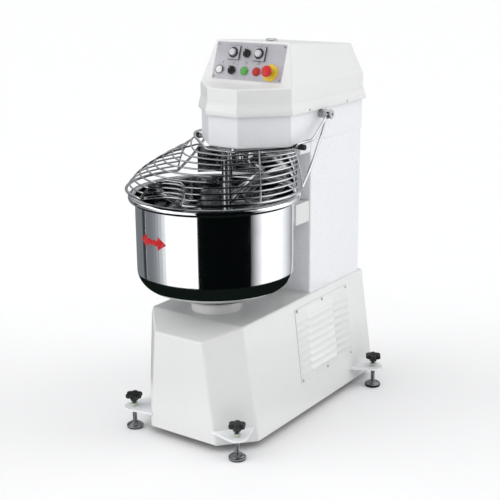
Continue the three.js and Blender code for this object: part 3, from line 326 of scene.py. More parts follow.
def set_on(piece, body, slot, *nodes):
    """Rides a finished piece on its body and hides the plain nodes it stands for; its slot is not used."""
    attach(piece, body)
    if nodes:
        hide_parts(*nodes)


def settle(piece):
    """Turns a piece's modifiers into its mesh."""
    made = bpy.data.meshes.new_from_object(piece.evaluated_get(bpy.context.evaluated_depsgraph_get()))
    piece.modifiers.clear()
    piece.data = made


def flats_kept_flat(piece):
    weighted = piece.modifiers.new("flats", "WEIGHTED_NORMAL")
    weighted.keep_sharp = True


def block(corners):
    """A closed convex bmesh round some corners, with its flat faces whole."""
    bm = bmesh.new()
    for corner in corners:
        bm.verts.new(corner)
    bmesh.ops.convex_hull(bm, input=bm.verts)
    loose = [vert for vert in bm.verts if not vert.link_faces]
    bmesh.ops.delete(bm, geom=loose, context="VERTS")
    bmesh.ops.dissolve_limit(bm, angle_limit=math.radians(0.5), verts=bm.verts, edges=bm.edges)
    return bm


def rounded(bm, radius, segments=3, edges=None):
    bmesh.ops.bevel(
        bm, geom=list(edges or bm.edges), offset=radius, segments=segments, profile=0.5, affect="EDGES",
        clamp_overlap=True,
    )
    return bm


def box_corners(low, high):
    return [(x, y, z) for x in (low[0], high[0]) for y in (low[1], high[1]) for z in (low[2], high[2])]


def cut_away(piece, tool_bm):
    """Cuts a closed tool out of a piece."""
    mesh = bpy.data.meshes.new("cutter")
    bmesh.ops.recalc_face_normals(tool_bm, faces=tool_bm.faces)
    tool_bm.to_mesh(mesh)
    tool_bm.free()
    tool = bpy.data.objects.new("cutter", mesh)
    bpy.context.scene.collection.objects.link(tool)
    saw = piece.modifiers.new("cut", "BOOLEAN")
    saw.operation = "DIFFERENCE"
    saw.object = tool
    settle(piece)
    bpy.data.objects.remove(tool)


sheet = 0.003
deck_half_width, deck_front, deck_rear = 0.197, -0.320, 0.492
front_half_width, front_drop = 0.101, 0.044
foot_front_half_width, foot_front, foot_corner = 0.143, -0.410, -0.296
pedestal_low, pedestal_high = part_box("pedestal_shell")


def pedestal_corners(inset, bottom):
    corners = []
    for side in (-1, 1):
        wide = side * (pedestal_high.x - inset)
        corners += [
            (side * (deck_half_width - inset), deck_front + inset, pedestal_high.z - inset),
            (side * (deck_half_width - inset), deck_rear - inset, pedestal_high.z - inset),
            (
                side * (front_half_width - inset), pedestal_low.y + inset,
                pedestal_high.z - front_drop - inset,
            ),
            (side * (foot_front_half_width - inset), foot_front + inset, bottom),
            (wide, foot_corner + inset, bottom),
            (wide, pedestal_high.y - inset, bottom),
        ]
    return corners


side_lean = math.atan2(pedestal_high.x - deck_half_width, pedestal_high.z - pedestal_low.z)
side_plane = Matrix((
    (0, -math.sin(side_lean), math.cos(side_lean), deck_half_width),
    (1, 0, 0, 0),
    (0, math.cos(side_lean), math.sin(side_lean), pedestal_high.z),
    (0, 0, 0, 1),
))
access_front, access_rear = -0.007, 0.361
access_top, access_bottom = 0.030, 0.307
cover_lap = 0.018

pedestal = piece_from(
    "pedestal_casing", rounded(block(pedestal_corners(0, pedestal_low.z)), 0.007), white_coat_painted_shade,
)
cut_away(pedestal, rounded(block(pedestal_corners(sheet, pedestal_low.z - 0.02)), 0.004, 2))
opening = block(box_corners(
    (access_front + cover_lap, -access_bottom + cover_lap, -0.02),
    (access_rear - cover_lap, -access_top - cover_lap, 0.02),
))
bmesh.ops.transform(opening, matrix=side_plane, verts=opening.verts)
cut_away(pedestal, opening)
shaft_hole, shaft_clearance = bmesh.new(), 0.0512
bmesh.ops.create_cone(
    shaft_hole, cap_ends=True, segments=48, radius1=shaft_clearance, radius2=shaft_clearance, depth=0.05,
)
bmesh.ops.translate(shaft_hole, vec=bowl_axis + Vector((0, 0, pedestal_high.z)), verts=shaft_hole.verts)
cut_away(pedestal, shaft_hole)
cut_away(pedestal, block(box_corners((-0.1, 0.3, 0.42), (0.1, 0.43, 0.46))))
flats_kept_flat(pedestal)
set_on(pedestal, "frame", "white_paint", "pedestal_shell")


# ---------- Access panel ----------
# A 2 mm pressed steel cover with eight rows of louvres, screwed over the drive's opening by six domed
# screws. It is powder coated like the casing and lies a hair proud of the sloping side.
louvre_front, louvre_length = 0.063, 0.187
louvre_first, louvre_pitch, louvre_height, louvre_bulge = 0.074, 0.0275, 0.013, 0.0055
louvre_rows = 8
panel_lift = 0.0003
panel_sheet = 0.0018


def louvre_swell(along, drop):
    """How far the pressed sheet stands out at a place on the panel."""
    for row in range(louvre_rows):
        top = louvre_first + row * louvre_pitch - 0.002
        if top - 1e-6 <= drop <= top + louvre_height - 1e-6:
            rise = math.sin((drop - top) / louvre_height * math.pi / 2)
            from_end = min(along - louvre_front, louvre_front + louvre_length - along)
            end = max(0.0, min(1.0, from_end / 0.011))
            return louvre_bulge * rise * math.sin(end * math.pi / 2)
    return 0.0


def stations(low, high, fine, spots):
    """Stations along one side of the panel: its ends and every fold line between them."""
    marks = sorted(
        {round(low, 5), round(high, 5), *(round(spot, 5) for spot in spots if low < spot < high)}
    )
    return [mark for i, mark in enumerate(marks) if i == 0 or mark - marks[i - 1] > fine]


end_folds = [0, 0.0014, 0.003, 0.005, 0.0075, 0.011]
along_marks = stations(access_front, access_rear, 1e-5, [
    *(louvre_front + fold for fold in end_folds),
    *(louvre_front + louvre_length - fold for fold in end_folds),
    *(louvre_front + louvre_length * step / 6 for step in range(1, 6)),
])
drop_marks = []
for row in range(louvre_rows):
    top = louvre_first + row * louvre_pitch - 0.002
    drop_marks += [top + louvre_height * step / 6 for step in range(6)] + [
        top + louvre_height - 2e-5, top + louvre_height,
    ]
drop_marks = stations(access_top, access_bottom, 1e-5, drop_marks)

panel_bm = bmesh.new()
panel_grid = [
    [
        panel_bm.verts.new((along, -drop, louvre_swell(along, drop))) for along in along_marks
    ] for drop in drop_marks
]
for upper, lower in zip(panel_grid, panel_grid[1:]):
    for i in range(len(along_marks) - 1):
        corners = (upper[i], upper[i + 1], lower[i + 1], lower[i])
        steep = abs(upper[i].co.y - lower[i].co.y) < 1e-4
        open_slot = steep and min(upper[i].co.z, upper[i + 1].co.z) > 0.0035
        if not open_slot:
            panel_bm.faces.new(corners)
panel_bm.normal_update()
bmesh.ops.solidify(panel_bm, geom=panel_bm.faces[:], thickness=panel_sheet)
lowest = min(vert.co.z for vert in panel_bm.verts)
bmesh.ops.translate(panel_bm, vec=(0, 0, panel_lift - lowest), verts=panel_bm.verts)
bmesh.ops.transform(panel_bm, matrix=side_plane, verts=panel_bm.verts)
bmesh.ops.recalc_face_normals(panel_bm, faces=panel_bm.faces)
access_panel = piece_from("access_cover", panel_bm, white_coat_painted_shade, 50)
set_on(access_panel, "frame", "white_paint", "access_panel")


def metal(name, colour, roughness, streak=0.0):
    """Bare steel: fine noise in its gloss, faint stains, and streaks along the rolling if brushed."""
    finish = Finish(name, {"Metallic": 1.0})
    stain = finish.noise(0.05, 4.0)
    if streak:
        grain = finish.noise(0.0006, 2.0, at=finish.stretched(1, 1, 0.04))
    else:
        grain = finish.noise(0.003, 3.0)
    dark = tuple(value * 0.86 for value in colour)
    finish.feed(
        Base_Color=finish.mixed(stain.ramp(0.35, 0.75) * 0.5 + grain * 0.2, colour, dark),
        Roughness=grain * (0.1 + streak) + stain * 0.06 + (roughness - 0.06),
    )
    finish.raised(grain, 0.00003, 0.3 + streak)
    return finish.material


zinc_steel = metal("zinc_plated_steel", (0.60, 0.61, 0.62), 0.3)


def turned_bm(profile, segments=48):
    """A turned bmesh about Z from a profile of radius and height, closed where it meets the axis."""
    bm = bmesh.new()
    spine = [bm.verts.new((radius, 0, height)) for radius, height in profile]
    edges = [bm.edges.new(pair) for pair in zip(spine, spine[1:])]
    bmesh.ops.spin(
        bm, geom=spine + edges, axis=(0, 0, 1), cent=(0, 0, 0), angle=2 * math.pi, steps=segments,
        use_merge=True, use_duplicate=False,
    )
    bmesh.ops.remove_doubles(bm, verts=bm.verts, dist=1e-6)
    return bm


def joined(name, parts, finish, smooth_under=35.0):
    """One piece from several bmeshes, each with its own placing matrix."""
    whole = bmesh.new()
    for part, placing in parts:
        bmesh.ops.transform(part, matrix=placing, verts=part.verts)
        mesh = bpy.data.meshes.new("part")
        part.to_mesh(mesh)
        part.free()
        whole.from_mesh(mesh)
        bpy.data.meshes.remove(mesh)
    return piece_from(name, whole, finish, smooth_under)


def turned_piece(name, profile, segments, placing, finish, body, slot, *nodes):
    """A turned piece stood in its place, riding on its body and standing for its plain nodes."""
    piece = joined(name, [(turned_bm(profile, segments), placing)], finish)
    set_on(piece, body, slot, *nodes)
    return piece


def domed_screw(radius=0.0055, height=0.0026):
    """A domed screw head with a cross-shaped recess pressed into it, standing on z = 0."""
    rings = 6
    profile = [(radius, 0.0), (radius, 0.0004)]
    profile += [
        (
            radius * math.cos(step / rings * math.pi / 2),
            0.0004 + (height - 0.0004) * math.sin(step / rings * math.pi / 2),
        )
        for step in range(1, rings)
    ]
    bm = turned_bm([*profile, (0.0, height)], 20)
    for vert in bm.verts:
        across = min(abs(vert.co.x), abs(vert.co.y))
        slotted = across < radius * 0.12 and max(abs(vert.co.x), abs(vert.co.y)) < radius * 0.55
        if slotted and vert.co.z > height * 0.5:
            vert.co.z -= height * 0.45
    return bm


def screws(name, placings, radius=0.0055):
    piece = joined(name, [(domed_screw(radius), placing) for placing in placings], zinc_steel, 60)
    set_on(piece, "frame", "plain_steel")


panel_face = panel_lift + panel_sheet
screws("access_cover_screws", [
    side_plane @ Matrix.Translation((along, -drop, panel_face))
    for along in (0.004, 0.177, 0.350) for drop in (access_top + 0.008, access_bottom - 0.008)
])


# ---------- Column casing and rear cover ----------
# A square tube of 3 mm sheet welded to the deck, with rounded upright folds, in the same powder coat, drawn
# in its lighter, bluer copy as painted light.
# A thin cover closes the service opening in its back and is held by eight domed screws.
def upright_edges(bm):
    return [
        edge for edge in bm.edges
        if abs((edge.verts[0].co - edge.verts[1].co).normalized().z) > 0.99
    ]


def box_block(low, high):
    return block(box_corners(low, high))


column_low, column_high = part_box("column_shell")
column_bm = box_block(column_low, column_high)
column = piece_from("column_casing", rounded(column_bm, 0.006, 3, upright_edges(column_bm)), white_coat_painted_light)
cut_away(column, box_block(
    column_low + Vector((sheet, sheet, -0.01)), column_high - Vector((sheet, sheet, -0.01)),
))
cover_low, cover_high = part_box("column_rear_cover")
cut_away(column, box_block(
    (cover_low.x + cover_lap, column_high.y - 0.01, cover_low.z + cover_lap),
    (cover_high.x - cover_lap, column_high.y + 0.01, cover_high.z - cover_lap),
))
flats_kept_flat(column)
set_on(column, "frame", "cool_white_paint", "column_shell")

cover_bm = box_block(cover_low, cover_high)
along_y = [
    edge for edge in cover_bm.edges if abs((edge.verts[0].co - edge.verts[1].co).normalized().y) > 0.99
]
rounded(cover_bm, 0.010, 4, along_y)
front_rim = [edge for edge in cover_bm.edges if all(vert.co.y > cover_high.y - 1e-5 for vert in edge.verts)]
rear_cover = piece_from("column_back_cover", rounded(cover_bm, 0.0007, 2, front_rim), white_coat_painted_light)
flats_kept_flat(rear_cover)
set_on(rear_cover, "frame", "cool_white_paint", "column_rear_cover")
facing_back = Matrix.Rotation(-math.pi / 2, 4, "X")
screws("column_cover_screws", [
    Matrix.Translation((x, cover_high.y, z)) @ facing_back
    for x in (cover_low.x + 0.010, cover_high.x - 0.010)
    for z in (cover_low.z + 0.012 + (cover_high.z - cover_low.z - 0.024) * step / 3 for step in range(4))
])


# ---------- Head casing ----------
# The overhanging head is a welded tray of 3 mm sheet with a faceted nose, and a lower step just ahead of
# the column. The spindle housing and the spiral's motor pass through round holes in its floor.
def head_outline(offset):
    turn = math.atan2(nose_depth, head_half_width - nose_half_width)
    nose_shift = offset * math.tan(turn / 2)
    side_shift = offset * math.tan((math.pi / 2 - turn) / 2)
    right = [
        (nose_half_width + nose_shift, chord_y - nose_depth - offset),
        (head_half_width + offset, chord_y - side_shift),
        (head_half_width + offset, head_high.y + offset),
    ]
    return right + [(-x, y) for x, y in reversed(right)]


def outline_block(offset, bottom, top):
    return block([(x, y, z) for x, y in head_outline(offset) for z in (bottom, top)])


def round_cutter(radius, centre, bottom, top, segments=48):
    bm = bmesh.new()
    bmesh.ops.create_cone(
        bm, cap_ends=True, segments=segments, radius1=radius, radius2=radius, depth=top - bottom,
    )
    bmesh.ops.translate(bm, vec=(centre.x, centre.y, (top + bottom) / 2), verts=bm.verts)
    return bm


def middle(node):
    low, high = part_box(node)
    return (low + high) / 2


head_low, head_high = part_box("head_shell")
head_half_width = head_high.x
nose_half_width, nose_depth, chord_y = 0.061, 0.133, -0.017
head_floor = column_high.z + 0.0003
step_front = column_low.y - 0.069
spindle_axis, spiral_motor_axis = middle("spindle"), middle("spiral_motor")

head_bm = outline_block(0, head_floor, head_high.z)
head_folds = [edge for edge in head_bm.edges if not all(
    vert.co.z < head_floor + 1e-5 and vert.co.y > chord_y - 0.01 for vert in edge.verts
)]
head = piece_from("head_casing", rounded(head_bm, 0.005, 3, head_folds), white_coat_painted_light)
cut_away(head, outline_block(-sheet, head_floor + sheet, head_high.z + 0.01))
cut_away(head, round_cutter(0.0487, spindle_axis, head_floor - 0.01, head_floor + 0.01))
cut_away(head, round_cutter(0.0934, spiral_motor_axis, head_floor - 0.01, head_floor + 0.01))
flats_kept_flat(head)
set_on(head, "frame", "cool_white_paint", "head_shell")

head_step = piece_from("head_step", rounded(box_block(
    (-head_half_width, step_front, head_low.z),
    (head_half_width, column_low.y - 0.0003, head_floor + 0.0005),
), 0.004, 3), white_coat_painted_light)
cut_away(head_step, box_block(
    (sheet - head_half_width, step_front + sheet, head_low.z + sheet),
    (head_half_width - sheet, column_low.y - sheet, head_floor + 0.02),
))
flats_kept_flat(head_step)
set_on(head_step, "frame", "cool_white_paint")


# ---------- Hood ----------
# One pressed and welded cover over the drive: a flared skirt, a straight band with a ledge on the nose,
# and a tapered box whose tilted front carries the controls. Countersunk screws through the skirt hold it
# to the head.
hood_low, hood_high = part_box("hood")
ledge_z = head_floor + 0.202
band_proud, skirt_proud, skirt_flare, skirt_lip, flare_height = 0.002, 0.0035, 0.0065, 0.008, 0.041
hood_taper, hood_slant, hood_rear_slant, hood_rear_rise = 0.036, 0.050, 0.028, 0.112

hood_bm = bmesh.new()
levels = [(hood_low.z, skirt_proud + skirt_flare), (hood_low.z + skirt_lip, skirt_proud + skirt_flare)]
flare_steps = 5
for step in range(1, flare_steps + 1):
    share = step / flare_steps
    sweep = (1 + math.cos(share * math.pi)) / 2
    levels.append(
        (hood_low.z + skirt_lip + (flare_height - skirt_lip) * share, skirt_proud + skirt_flare * sweep)
    )
levels += [(hood_low.z + flare_height + 0.0006, band_proud), (ledge_z, band_proud)]
loops = [[hood_bm.verts.new((x, y, z)) for x, y in head_outline(offset)] for z, offset in levels]
for lower, upper in zip(loops, loops[1:]):
    for i in range(6):
        hood_bm.faces.new((lower[i], lower[(i + 1) % 6], upper[(i + 1) % 6], upper[i]))
nose_right, side_right, rear_right, rear_left, side_left, nose_left = loops[-1]
shoulder = side_right.co
peak = [
    hood_bm.verts.new((side * (head_half_width - hood_taper), y, z))
    for side in (1, -1)
    for y, z in (
        (shoulder.y + hood_slant, hood_high.z),
        (head_high.y - hood_rear_slant, ledge_z + hood_rear_rise),
    )
]
front_right, back_right, front_left, back_left = peak
hood_bm.faces.new((nose_left, nose_right, side_right, side_left))
hood_bm.faces.new((side_left, side_right, front_right, front_left))
hood_bm.faces.new((side_right, rear_right, back_right, front_right))
hood_bm.faces.new((rear_left, side_left, front_left, back_left))
hood_bm.faces.new((rear_right, rear_left, back_left, back_right))
hood_bm.faces.new((front_right, back_right, back_left, front_left))
bmesh.ops.recalc_face_normals(hood_bm, faces=hood_bm.faces)
folds = [
    edge for edge in hood_bm.edges
    if len(edge.link_faces) == 2 and edge.calc_face_angle(0.0) > math.radians(14)
    and (min(vert.co.z for vert in edge.verts) > ledge_z - 1e-5 or edge in upright_edges(hood_bm)
         or abs(edge.verts[0].co.z - edge.verts[1].co.z) > 1e-4)
]
rounded(hood_bm, 0.005, 4, folds)
hood = piece_from("hood_cover", hood_bm, white_coat_painted_shade)
thickness = hood.modifiers.new("sheet", "SOLIDIFY")
thickness.thickness = sheet
thickness.offset = -1
thickness.use_even_offset = True
settle(hood)

face_tilt = math.atan2(hood_high.z - ledge_z, hood_slant)
face_plane = Matrix.Translation((0, chord_y, ledge_z)) @ Matrix.Rotation(face_tilt, 4, "X")
plate_half_width, plate_bottom, plate_top = 0.146, 0.013, 0.145
window_margin = 0.016
window = box_block(
    (window_margin - plate_half_width, plate_bottom + window_margin, -0.012),
    (plate_half_width - window_margin, plate_top - window_margin, 0.003),
)
bmesh.ops.transform(window, matrix=face_plane, verts=window.verts)
cut_away(hood, window)
flats_kept_flat(hood)
set_on(hood, "frame", "white_paint", "hood")

facing_right = Matrix.Rotation(math.pi / 2, 4, "Y")
facing_left = Matrix.Rotation(-math.pi / 2, 4, "Y")
skirt_x = head_half_width + skirt_proud + skirt_flare
screws("hood_screws", [
    Matrix.Translation((side * skirt_x, y, hood_low.z + 0.0065)) @ facing
    for side, facing in ((1, facing_right), (-1, facing_left)) for y in (0.085, 0.343)
], 0.0042)


# ---------- Lifting cap ----------
# A zinc-plated plug screwed into the hood's top over the lifting eye's thread, with a slot across it.
cap_low, cap_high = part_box("lifting_cap")
top_lean = math.atan2(hood_high.z - ledge_z - hood_rear_rise, 0.414)
cap_middle = (cap_low + cap_high) / 2
cap_radius, cap_height = 0.021, 0.009
cap_profile = [
    (0, 0), (cap_radius, 0), (cap_radius, 0.0035), (cap_radius - 0.0008, 0.0045),
    (cap_radius - 0.004, 0.0082),
    (cap_radius - 0.0055, cap_height), (0.006, cap_height), (0.005, cap_height - 0.0025),
    (0, cap_height - 0.0025),
]
leaning = Matrix.Rotation(-top_lean, 4, "X") @ Matrix.Translation((0, 0, -cap_height / 2))
turned_piece(
    "lifting_plug", cap_profile, 48, Matrix.Translation(cap_middle) @ leaning, zinc_steel,
    "frame", "plain_steel", "lifting_cap",
)


# ---------- Control plate ----------
# Brushed stainless plate, 2 mm thick, screwed to the hood's tilted front by its four corners. Small dark
# marks are printed above the controls: a bolt for the lamp, rings and arcs for the switches, numbers for
# the timers.
def brushed_plate(name):
    """Fine straight brushing across the plate, a little uneven in gloss, with faint handling marks."""
    finish = Finish(name, {"Metallic": 0.55, "Anisotropic": 0.4})
    lines = finish.noise(0.0007, 2.0, at=finish.stretched(0.03, 1, 1))
    bands = finish.noise(0.012, 3.0, at=finish.stretched(0.08, 1, 1))
    hands = finish.noise(0.04, 5.0).ramp(0.45, 0.7)
    finish.feed(
        Base_Color=finish.mixed(lines * 0.35 + bands * 0.25, (0.806, 0.795, 0.851), (0.594, 0.582, 0.638)),
        Roughness=lines * 0.16 + hands * 0.08 + 0.3,
    )
    finish.raised(lines, 0.00002, 0.5)
    return finish.material


def on_face(x, up, out=0.0):
    """The placing of something that stands on the hood's tilted face."""
    return face_plane @ Matrix.Translation((x, up, out))


def plate_piece(name, low, high, corner, finish, edge=0.0004):
    """A flat piece on the tilted face with round corners and a softened front edge."""
    bm = box_block(low, high)
    rounded(bm, corner, 5, upright_edges(bm))
    rim = [line for line in bm.edges if all(vert.co.z > high[2] - 1e-6 for vert in line.verts)]
    rounded(bm, edge, 2, rim)
    bmesh.ops.transform(bm, matrix=face_plane, verts=bm.verts)
    return piece_from(name, bm, finish)


face_gap, plate_thickness = 0.0003, 0.002
plate_front = face_gap + plate_thickness
row_up = {"upper": 0.107, "lower": 0.045}


def across(node):
    return middle(node).x


plate_metal = brushed_plate("brushed_control_plate")
control_plate = plate_piece(
    "control_face", (-plate_half_width, plate_bottom, face_gap), (plate_half_width, plate_top, plate_front),
    0.004, plate_metal,
)
for timer in ("timer_bezel_left", "timer_bezel_right"):
    hole = box_block((-0.0203, -0.0203, -0.01), (0.0203, 0.0203, 0.01))
    bmesh.ops.transform(hole, matrix=on_face(across(timer), row_up["upper"]), verts=hole.verts)
    cut_away(control_plate, hole)
for node, row, radius in (
    ("mode_selector", "upper", 0.0056), ("speed_selector", "lower", 0.0056), ("lamp_lens", "lower", 0.0114),
    ("start_bezel", "lower", 0.0138), ("stop_bezel", "lower", 0.0138), ("emergency_disc", "lower", 0.0056),
):
    hole = round_cutter(radius, Vector((0, 0, 0)), -0.01, 0.01, 32)
    bmesh.ops.transform(hole, matrix=on_face(across(node), row_up[row]), verts=hole.verts)
    cut_away(control_plate, hole)
flats_kept_flat(control_plate)
set_on(control_plate, "frame", "brushed_plate", "control_plate")
screws("control_plate_screws", [
    on_face(x, up, plate_front) for x in (-0.138, 0.138) for up in (plate_bottom + 0.008, plate_top - 0.008)
], 0.0038)


def plain_plastic(name, colour, roughness=0.35, grain=0.0012):
    """Moulded plastic: a fine grain, slight clouding of colour and paler rubbed edges."""
    finish = Finish(name, {"IOR": 1.48})
    cloud = finish.noise(0.02, 3.0)
    darker = tuple(value * 0.82 for value in colour)
    paler = tuple(min(1.0, value * 1.1 + 0.08) for value in colour)
    base = finish.mixed(cloud * 0.6, colour, darker)
    finish.feed(
        Base_Color=finish.mixed(finish.edges() * 0.5, base, paler),
        Roughness=finish.noise(0.006) * 0.15 + roughness,
    )
    finish.raised(finish.noise(grain, 2.0), 0.00003, 0.4)
    return finish.material


mark_ink = plain_plastic("printed_mark_ink", (0.05, 0.05, 0.055), 0.6)


def ring_mark(outer, inner, from_turn=0.0, to_turn=360.0):
    """A flat ring, or part of one, printed on the plate."""
    bm = bmesh.new()
    steps = 20
    pairs = []
    for step in range(steps + 1):
        turn = math.radians(from_turn + (to_turn - from_turn) * step / steps)
        pairs.append([bm.verts.new((r * math.cos(turn), r * math.sin(turn), 0)) for r in (outer, inner)])
    for one, two in zip(pairs, pairs[1:]):
        bm.faces.new((one[0], two[0], two[1], one[1]))
    bmesh.ops.remove_doubles(bm, verts=bm.verts, dist=1e-6)
    return bm


def cut_mark(points):
    """A flat mark with a given outline."""
    bm = bmesh.new()
    bm.faces.new([bm.verts.new((x, y, 0)) for x, y in points])
    return bm


def number_mark(text, height):
    """A printed number, as a flat mesh."""
    curve = bpy.data.curves.new("number", "FONT")
    curve.body = text
    curve.size = height
    curve.align_x, curve.align_y = "CENTER", "CENTER"
    letter = bpy.data.objects.new("number", curve)
    bpy.context.scene.collection.objects.link(letter)
    mesh = bpy.data.meshes.new_from_object(letter.evaluated_get(bpy.context.evaluated_depsgraph_get()))
    bm = bmesh.new()
    bm.from_mesh(mesh)
    bpy.data.objects.remove(letter)
    return bm


def printed(name, marks, placing, body, ink, film=0.00012):
    """Printed marks with the thickness of a film of ink."""
    parts = []
    for bm, local in marks:
        solid = bmesh.ops.extrude_face_region(bm, geom=bm.faces[:])
        lifted = [item for item in solid["geom"] if isinstance(item, bmesh.types.BMVert)]
        bmesh.ops.translate(bm, vec=(0, 0, film), verts=lifted)
        parts.append((bm, placing @ local))
    piece = joined(name, parts, ink, 20)
    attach(piece, body)
    return piece


def at(x, up):
    return Matrix.Translation((x, up, 0))


bolt = [
    (0.0028, 0.006), (-0.0022, 0.0004), (0.0001, 0.0004), (-0.0028, -0.006), (0.0026, -0.0002),
    (0.0003, -0.0002),
]
lamp_x, start_x, stop_x = across("lamp_lens"), across("start_button"), across("stop_button")
speed_x, mode_x = across("speed_selector"), across("mode_selector")
timer_left_x, timer_right_x = across("timer_bezel_left"), across("timer_bezel_right")
printed("panel_marks", [
    (cut_mark(bolt), at(lamp_x + 0.010, 0.073)),
    (ring_mark(0.0034, 0.0025, -70, 250), at(speed_x + 0.004, 0.0715)),
    (ring_mark(0.0052, 0.0043), at(speed_x + 0.020, 0.070)),
    (ring_mark(0.0046, 0.0036, 120, 420), at(start_x + 0.003, 0.0745)),
    (
        cut_mark([(-0.0005, 0.0), (0.0005, 0.0), (0.0005, 0.0058), (-0.0005, 0.0058)]),
        at(start_x + 0.003, 0.0745),
    ),
    (ring_mark(0.0055, 0.0038), at(stop_x + 0.004, 0.0765)),
    (ring_mark(0.0030, 0.0022, 20, 250), at(mode_x - 0.004, 0.128)),
    (
        cut_mark([(-0.0004, -0.003), (0.0004, -0.003), (0.0034, 0.003), (0.0026, 0.003)]),
        at(mode_x + 0.018, 0.127),
    ),
    (number_mark("1", 0.009), at(timer_left_x + 0.002, 0.1375)),
    (number_mark("2", 0.009), at(timer_right_x + 0.002, 0.1375)),
], on_face(0, 0, plate_front), "frame", mark_ink)


# ---------- Timers ----------
# Two clockwork timers: each has a square satin plate with dark sides, a graduated scale printed on it,
# and a black-rimmed dial with a pale knob that winds it. The body behind the plate is black moulded
# plastic.
timer_half, timer_body_half, timer_depth, timer_proud = 0.025, 0.020, 0.042, 0.006
dial_base = plate_front + timer_proud + 2 * face_gap
black_plastic = plain_plastic("black_moulded_plastic", (0.022, 0.022, 0.024), 0.32)
timer_satin = brushed_plate("timer_satin_plate")
pale_plastic = plain_plastic("pale_grey_plastic", (0.60, 0.61, 0.63), 0.3)


def bored(piece, radius, placing, bottom, top):
    """Bores a round hole through a piece where a stem passes."""
    drill = round_cutter(radius, Vector((0, 0, 0)), bottom, top, 32)
    bmesh.ops.transform(drill, matrix=placing, verts=drill.verts)
    cut_away(piece, drill)
    flats_kept_flat(piece)


stem_profile = [(0.005, 0.001), (0, 0.001)]
for side, x in (("left", timer_left_x), ("right", timer_right_x)):
    front = plate_front + face_gap
    placing = on_face(x, row_up["upper"])
    body_bm = box_block(
        (-timer_body_half, -timer_body_half, front - timer_depth),
        (timer_body_half, timer_body_half, front),
    )
    rounded(body_bm, 0.0015, 2)
    frame_bm = box_block(
        (-timer_half, -timer_half, front), (timer_half, timer_half, front + timer_proud - 0.001),
    )
    rounded(frame_bm, 0.0012, 2, upright_edges(frame_bm))
    housing = joined("timer_case_" + side, [(body_bm, placing), (frame_bm, placing)], black_plastic)
    bored(housing, 0.0056, placing, front - 0.022, front + 0.02)
    set_on(housing, "frame", "black_plastic", "timer_bezel_" + side)

    face_bm = box_block(
        (-timer_half + 0.0008, -timer_half + 0.0008, front + timer_proud - 0.001),
        (timer_half - 0.0008, timer_half - 0.0008, front + timer_proud),
    )
    rounded(face_bm, 0.0014, 3, upright_edges(face_bm))
    face = joined("timer_face_" + side, [(face_bm, placing)], timer_satin)
    bored(face, 0.0056, placing, front, front + 0.02)
    set_on(face, "frame", "brushed_plate")

    ticks = []
    for step in range(31):
        turn = math.radians(120 - step * 10)
        long = step % 5 == 0
        inner, outer = (0.0196 if long else 0.0206), 0.0222
        half = 0.00028
        tick = cut_mark([(inner, -half), (outer, -half), (outer, half), (inner, half)])
        ticks.append((tick, Matrix.Rotation(turn, 4, "Z")))
    printed(
        "timer_scale_" + side, ticks, on_face(x, row_up["upper"], front + timer_proud), "frame", mark_ink,
    )

    rim = turned_bm([
        (0.0125, 0.0), (0.0187, 0.0), (0.0190, 0.0006), (0.0182, 0.0032), (0.0160, 0.0040),
        (0.0138, 0.0036),
        (0.0125, 0.0030), (0.0125, 0.0),
    ], 48)
    for vert in rim.verts:
        reach = math.hypot(vert.co.x, vert.co.y)
        if reach > 0.0178:
            wave = 1 - 0.012 * (1 + math.cos(24 * math.atan2(vert.co.y, vert.co.x)))
            vert.co.x *= wave
            vert.co.y *= wave
    stem = turned_bm([(0, -0.016), (0.005, -0.016), *stem_profile], 24)
    dial_place = on_face(x, row_up["upper"], dial_base)
    dial_ring = joined("timer_dial_ring_" + side, [(rim, dial_place), (stem, dial_place)], black_plastic)
    set_on(dial_ring, "timer_" + side, "black_plastic", "timer_dial_" + side)

    knob_bm = turned_bm([
        (0, 0.0004), (0.0124, 0.0004), (0.0124, 0.0028), (0.0118, 0.0098), (0.0112, 0.0112),
        (0.0098, 0.0119),
        (0.0060, 0.0123), (0, 0.0124),
    ], 48)
    pointer_bm = rounded(box_block((-0.0011, 0.001, 0.0110), (0.0011, 0.0108, 0.0131)), 0.0005, 2)
    knob = joined("timer_knob_" + side, [(knob_bm, dial_place), (pointer_bm, dial_place)], pale_plastic)
    set_on(knob, "timer_" + side, "black_plastic")


# ---------- Selector switches ----------
# Two black turn switches: a round flanged base with a raised grip across it, moulded in one, on a short
# stem. The white line on the grip's end shows the position chosen.
white_line = plain_plastic("white_index_paint", (0.82, 0.82, 0.80), 0.5)
control_base = plate_front + face_gap


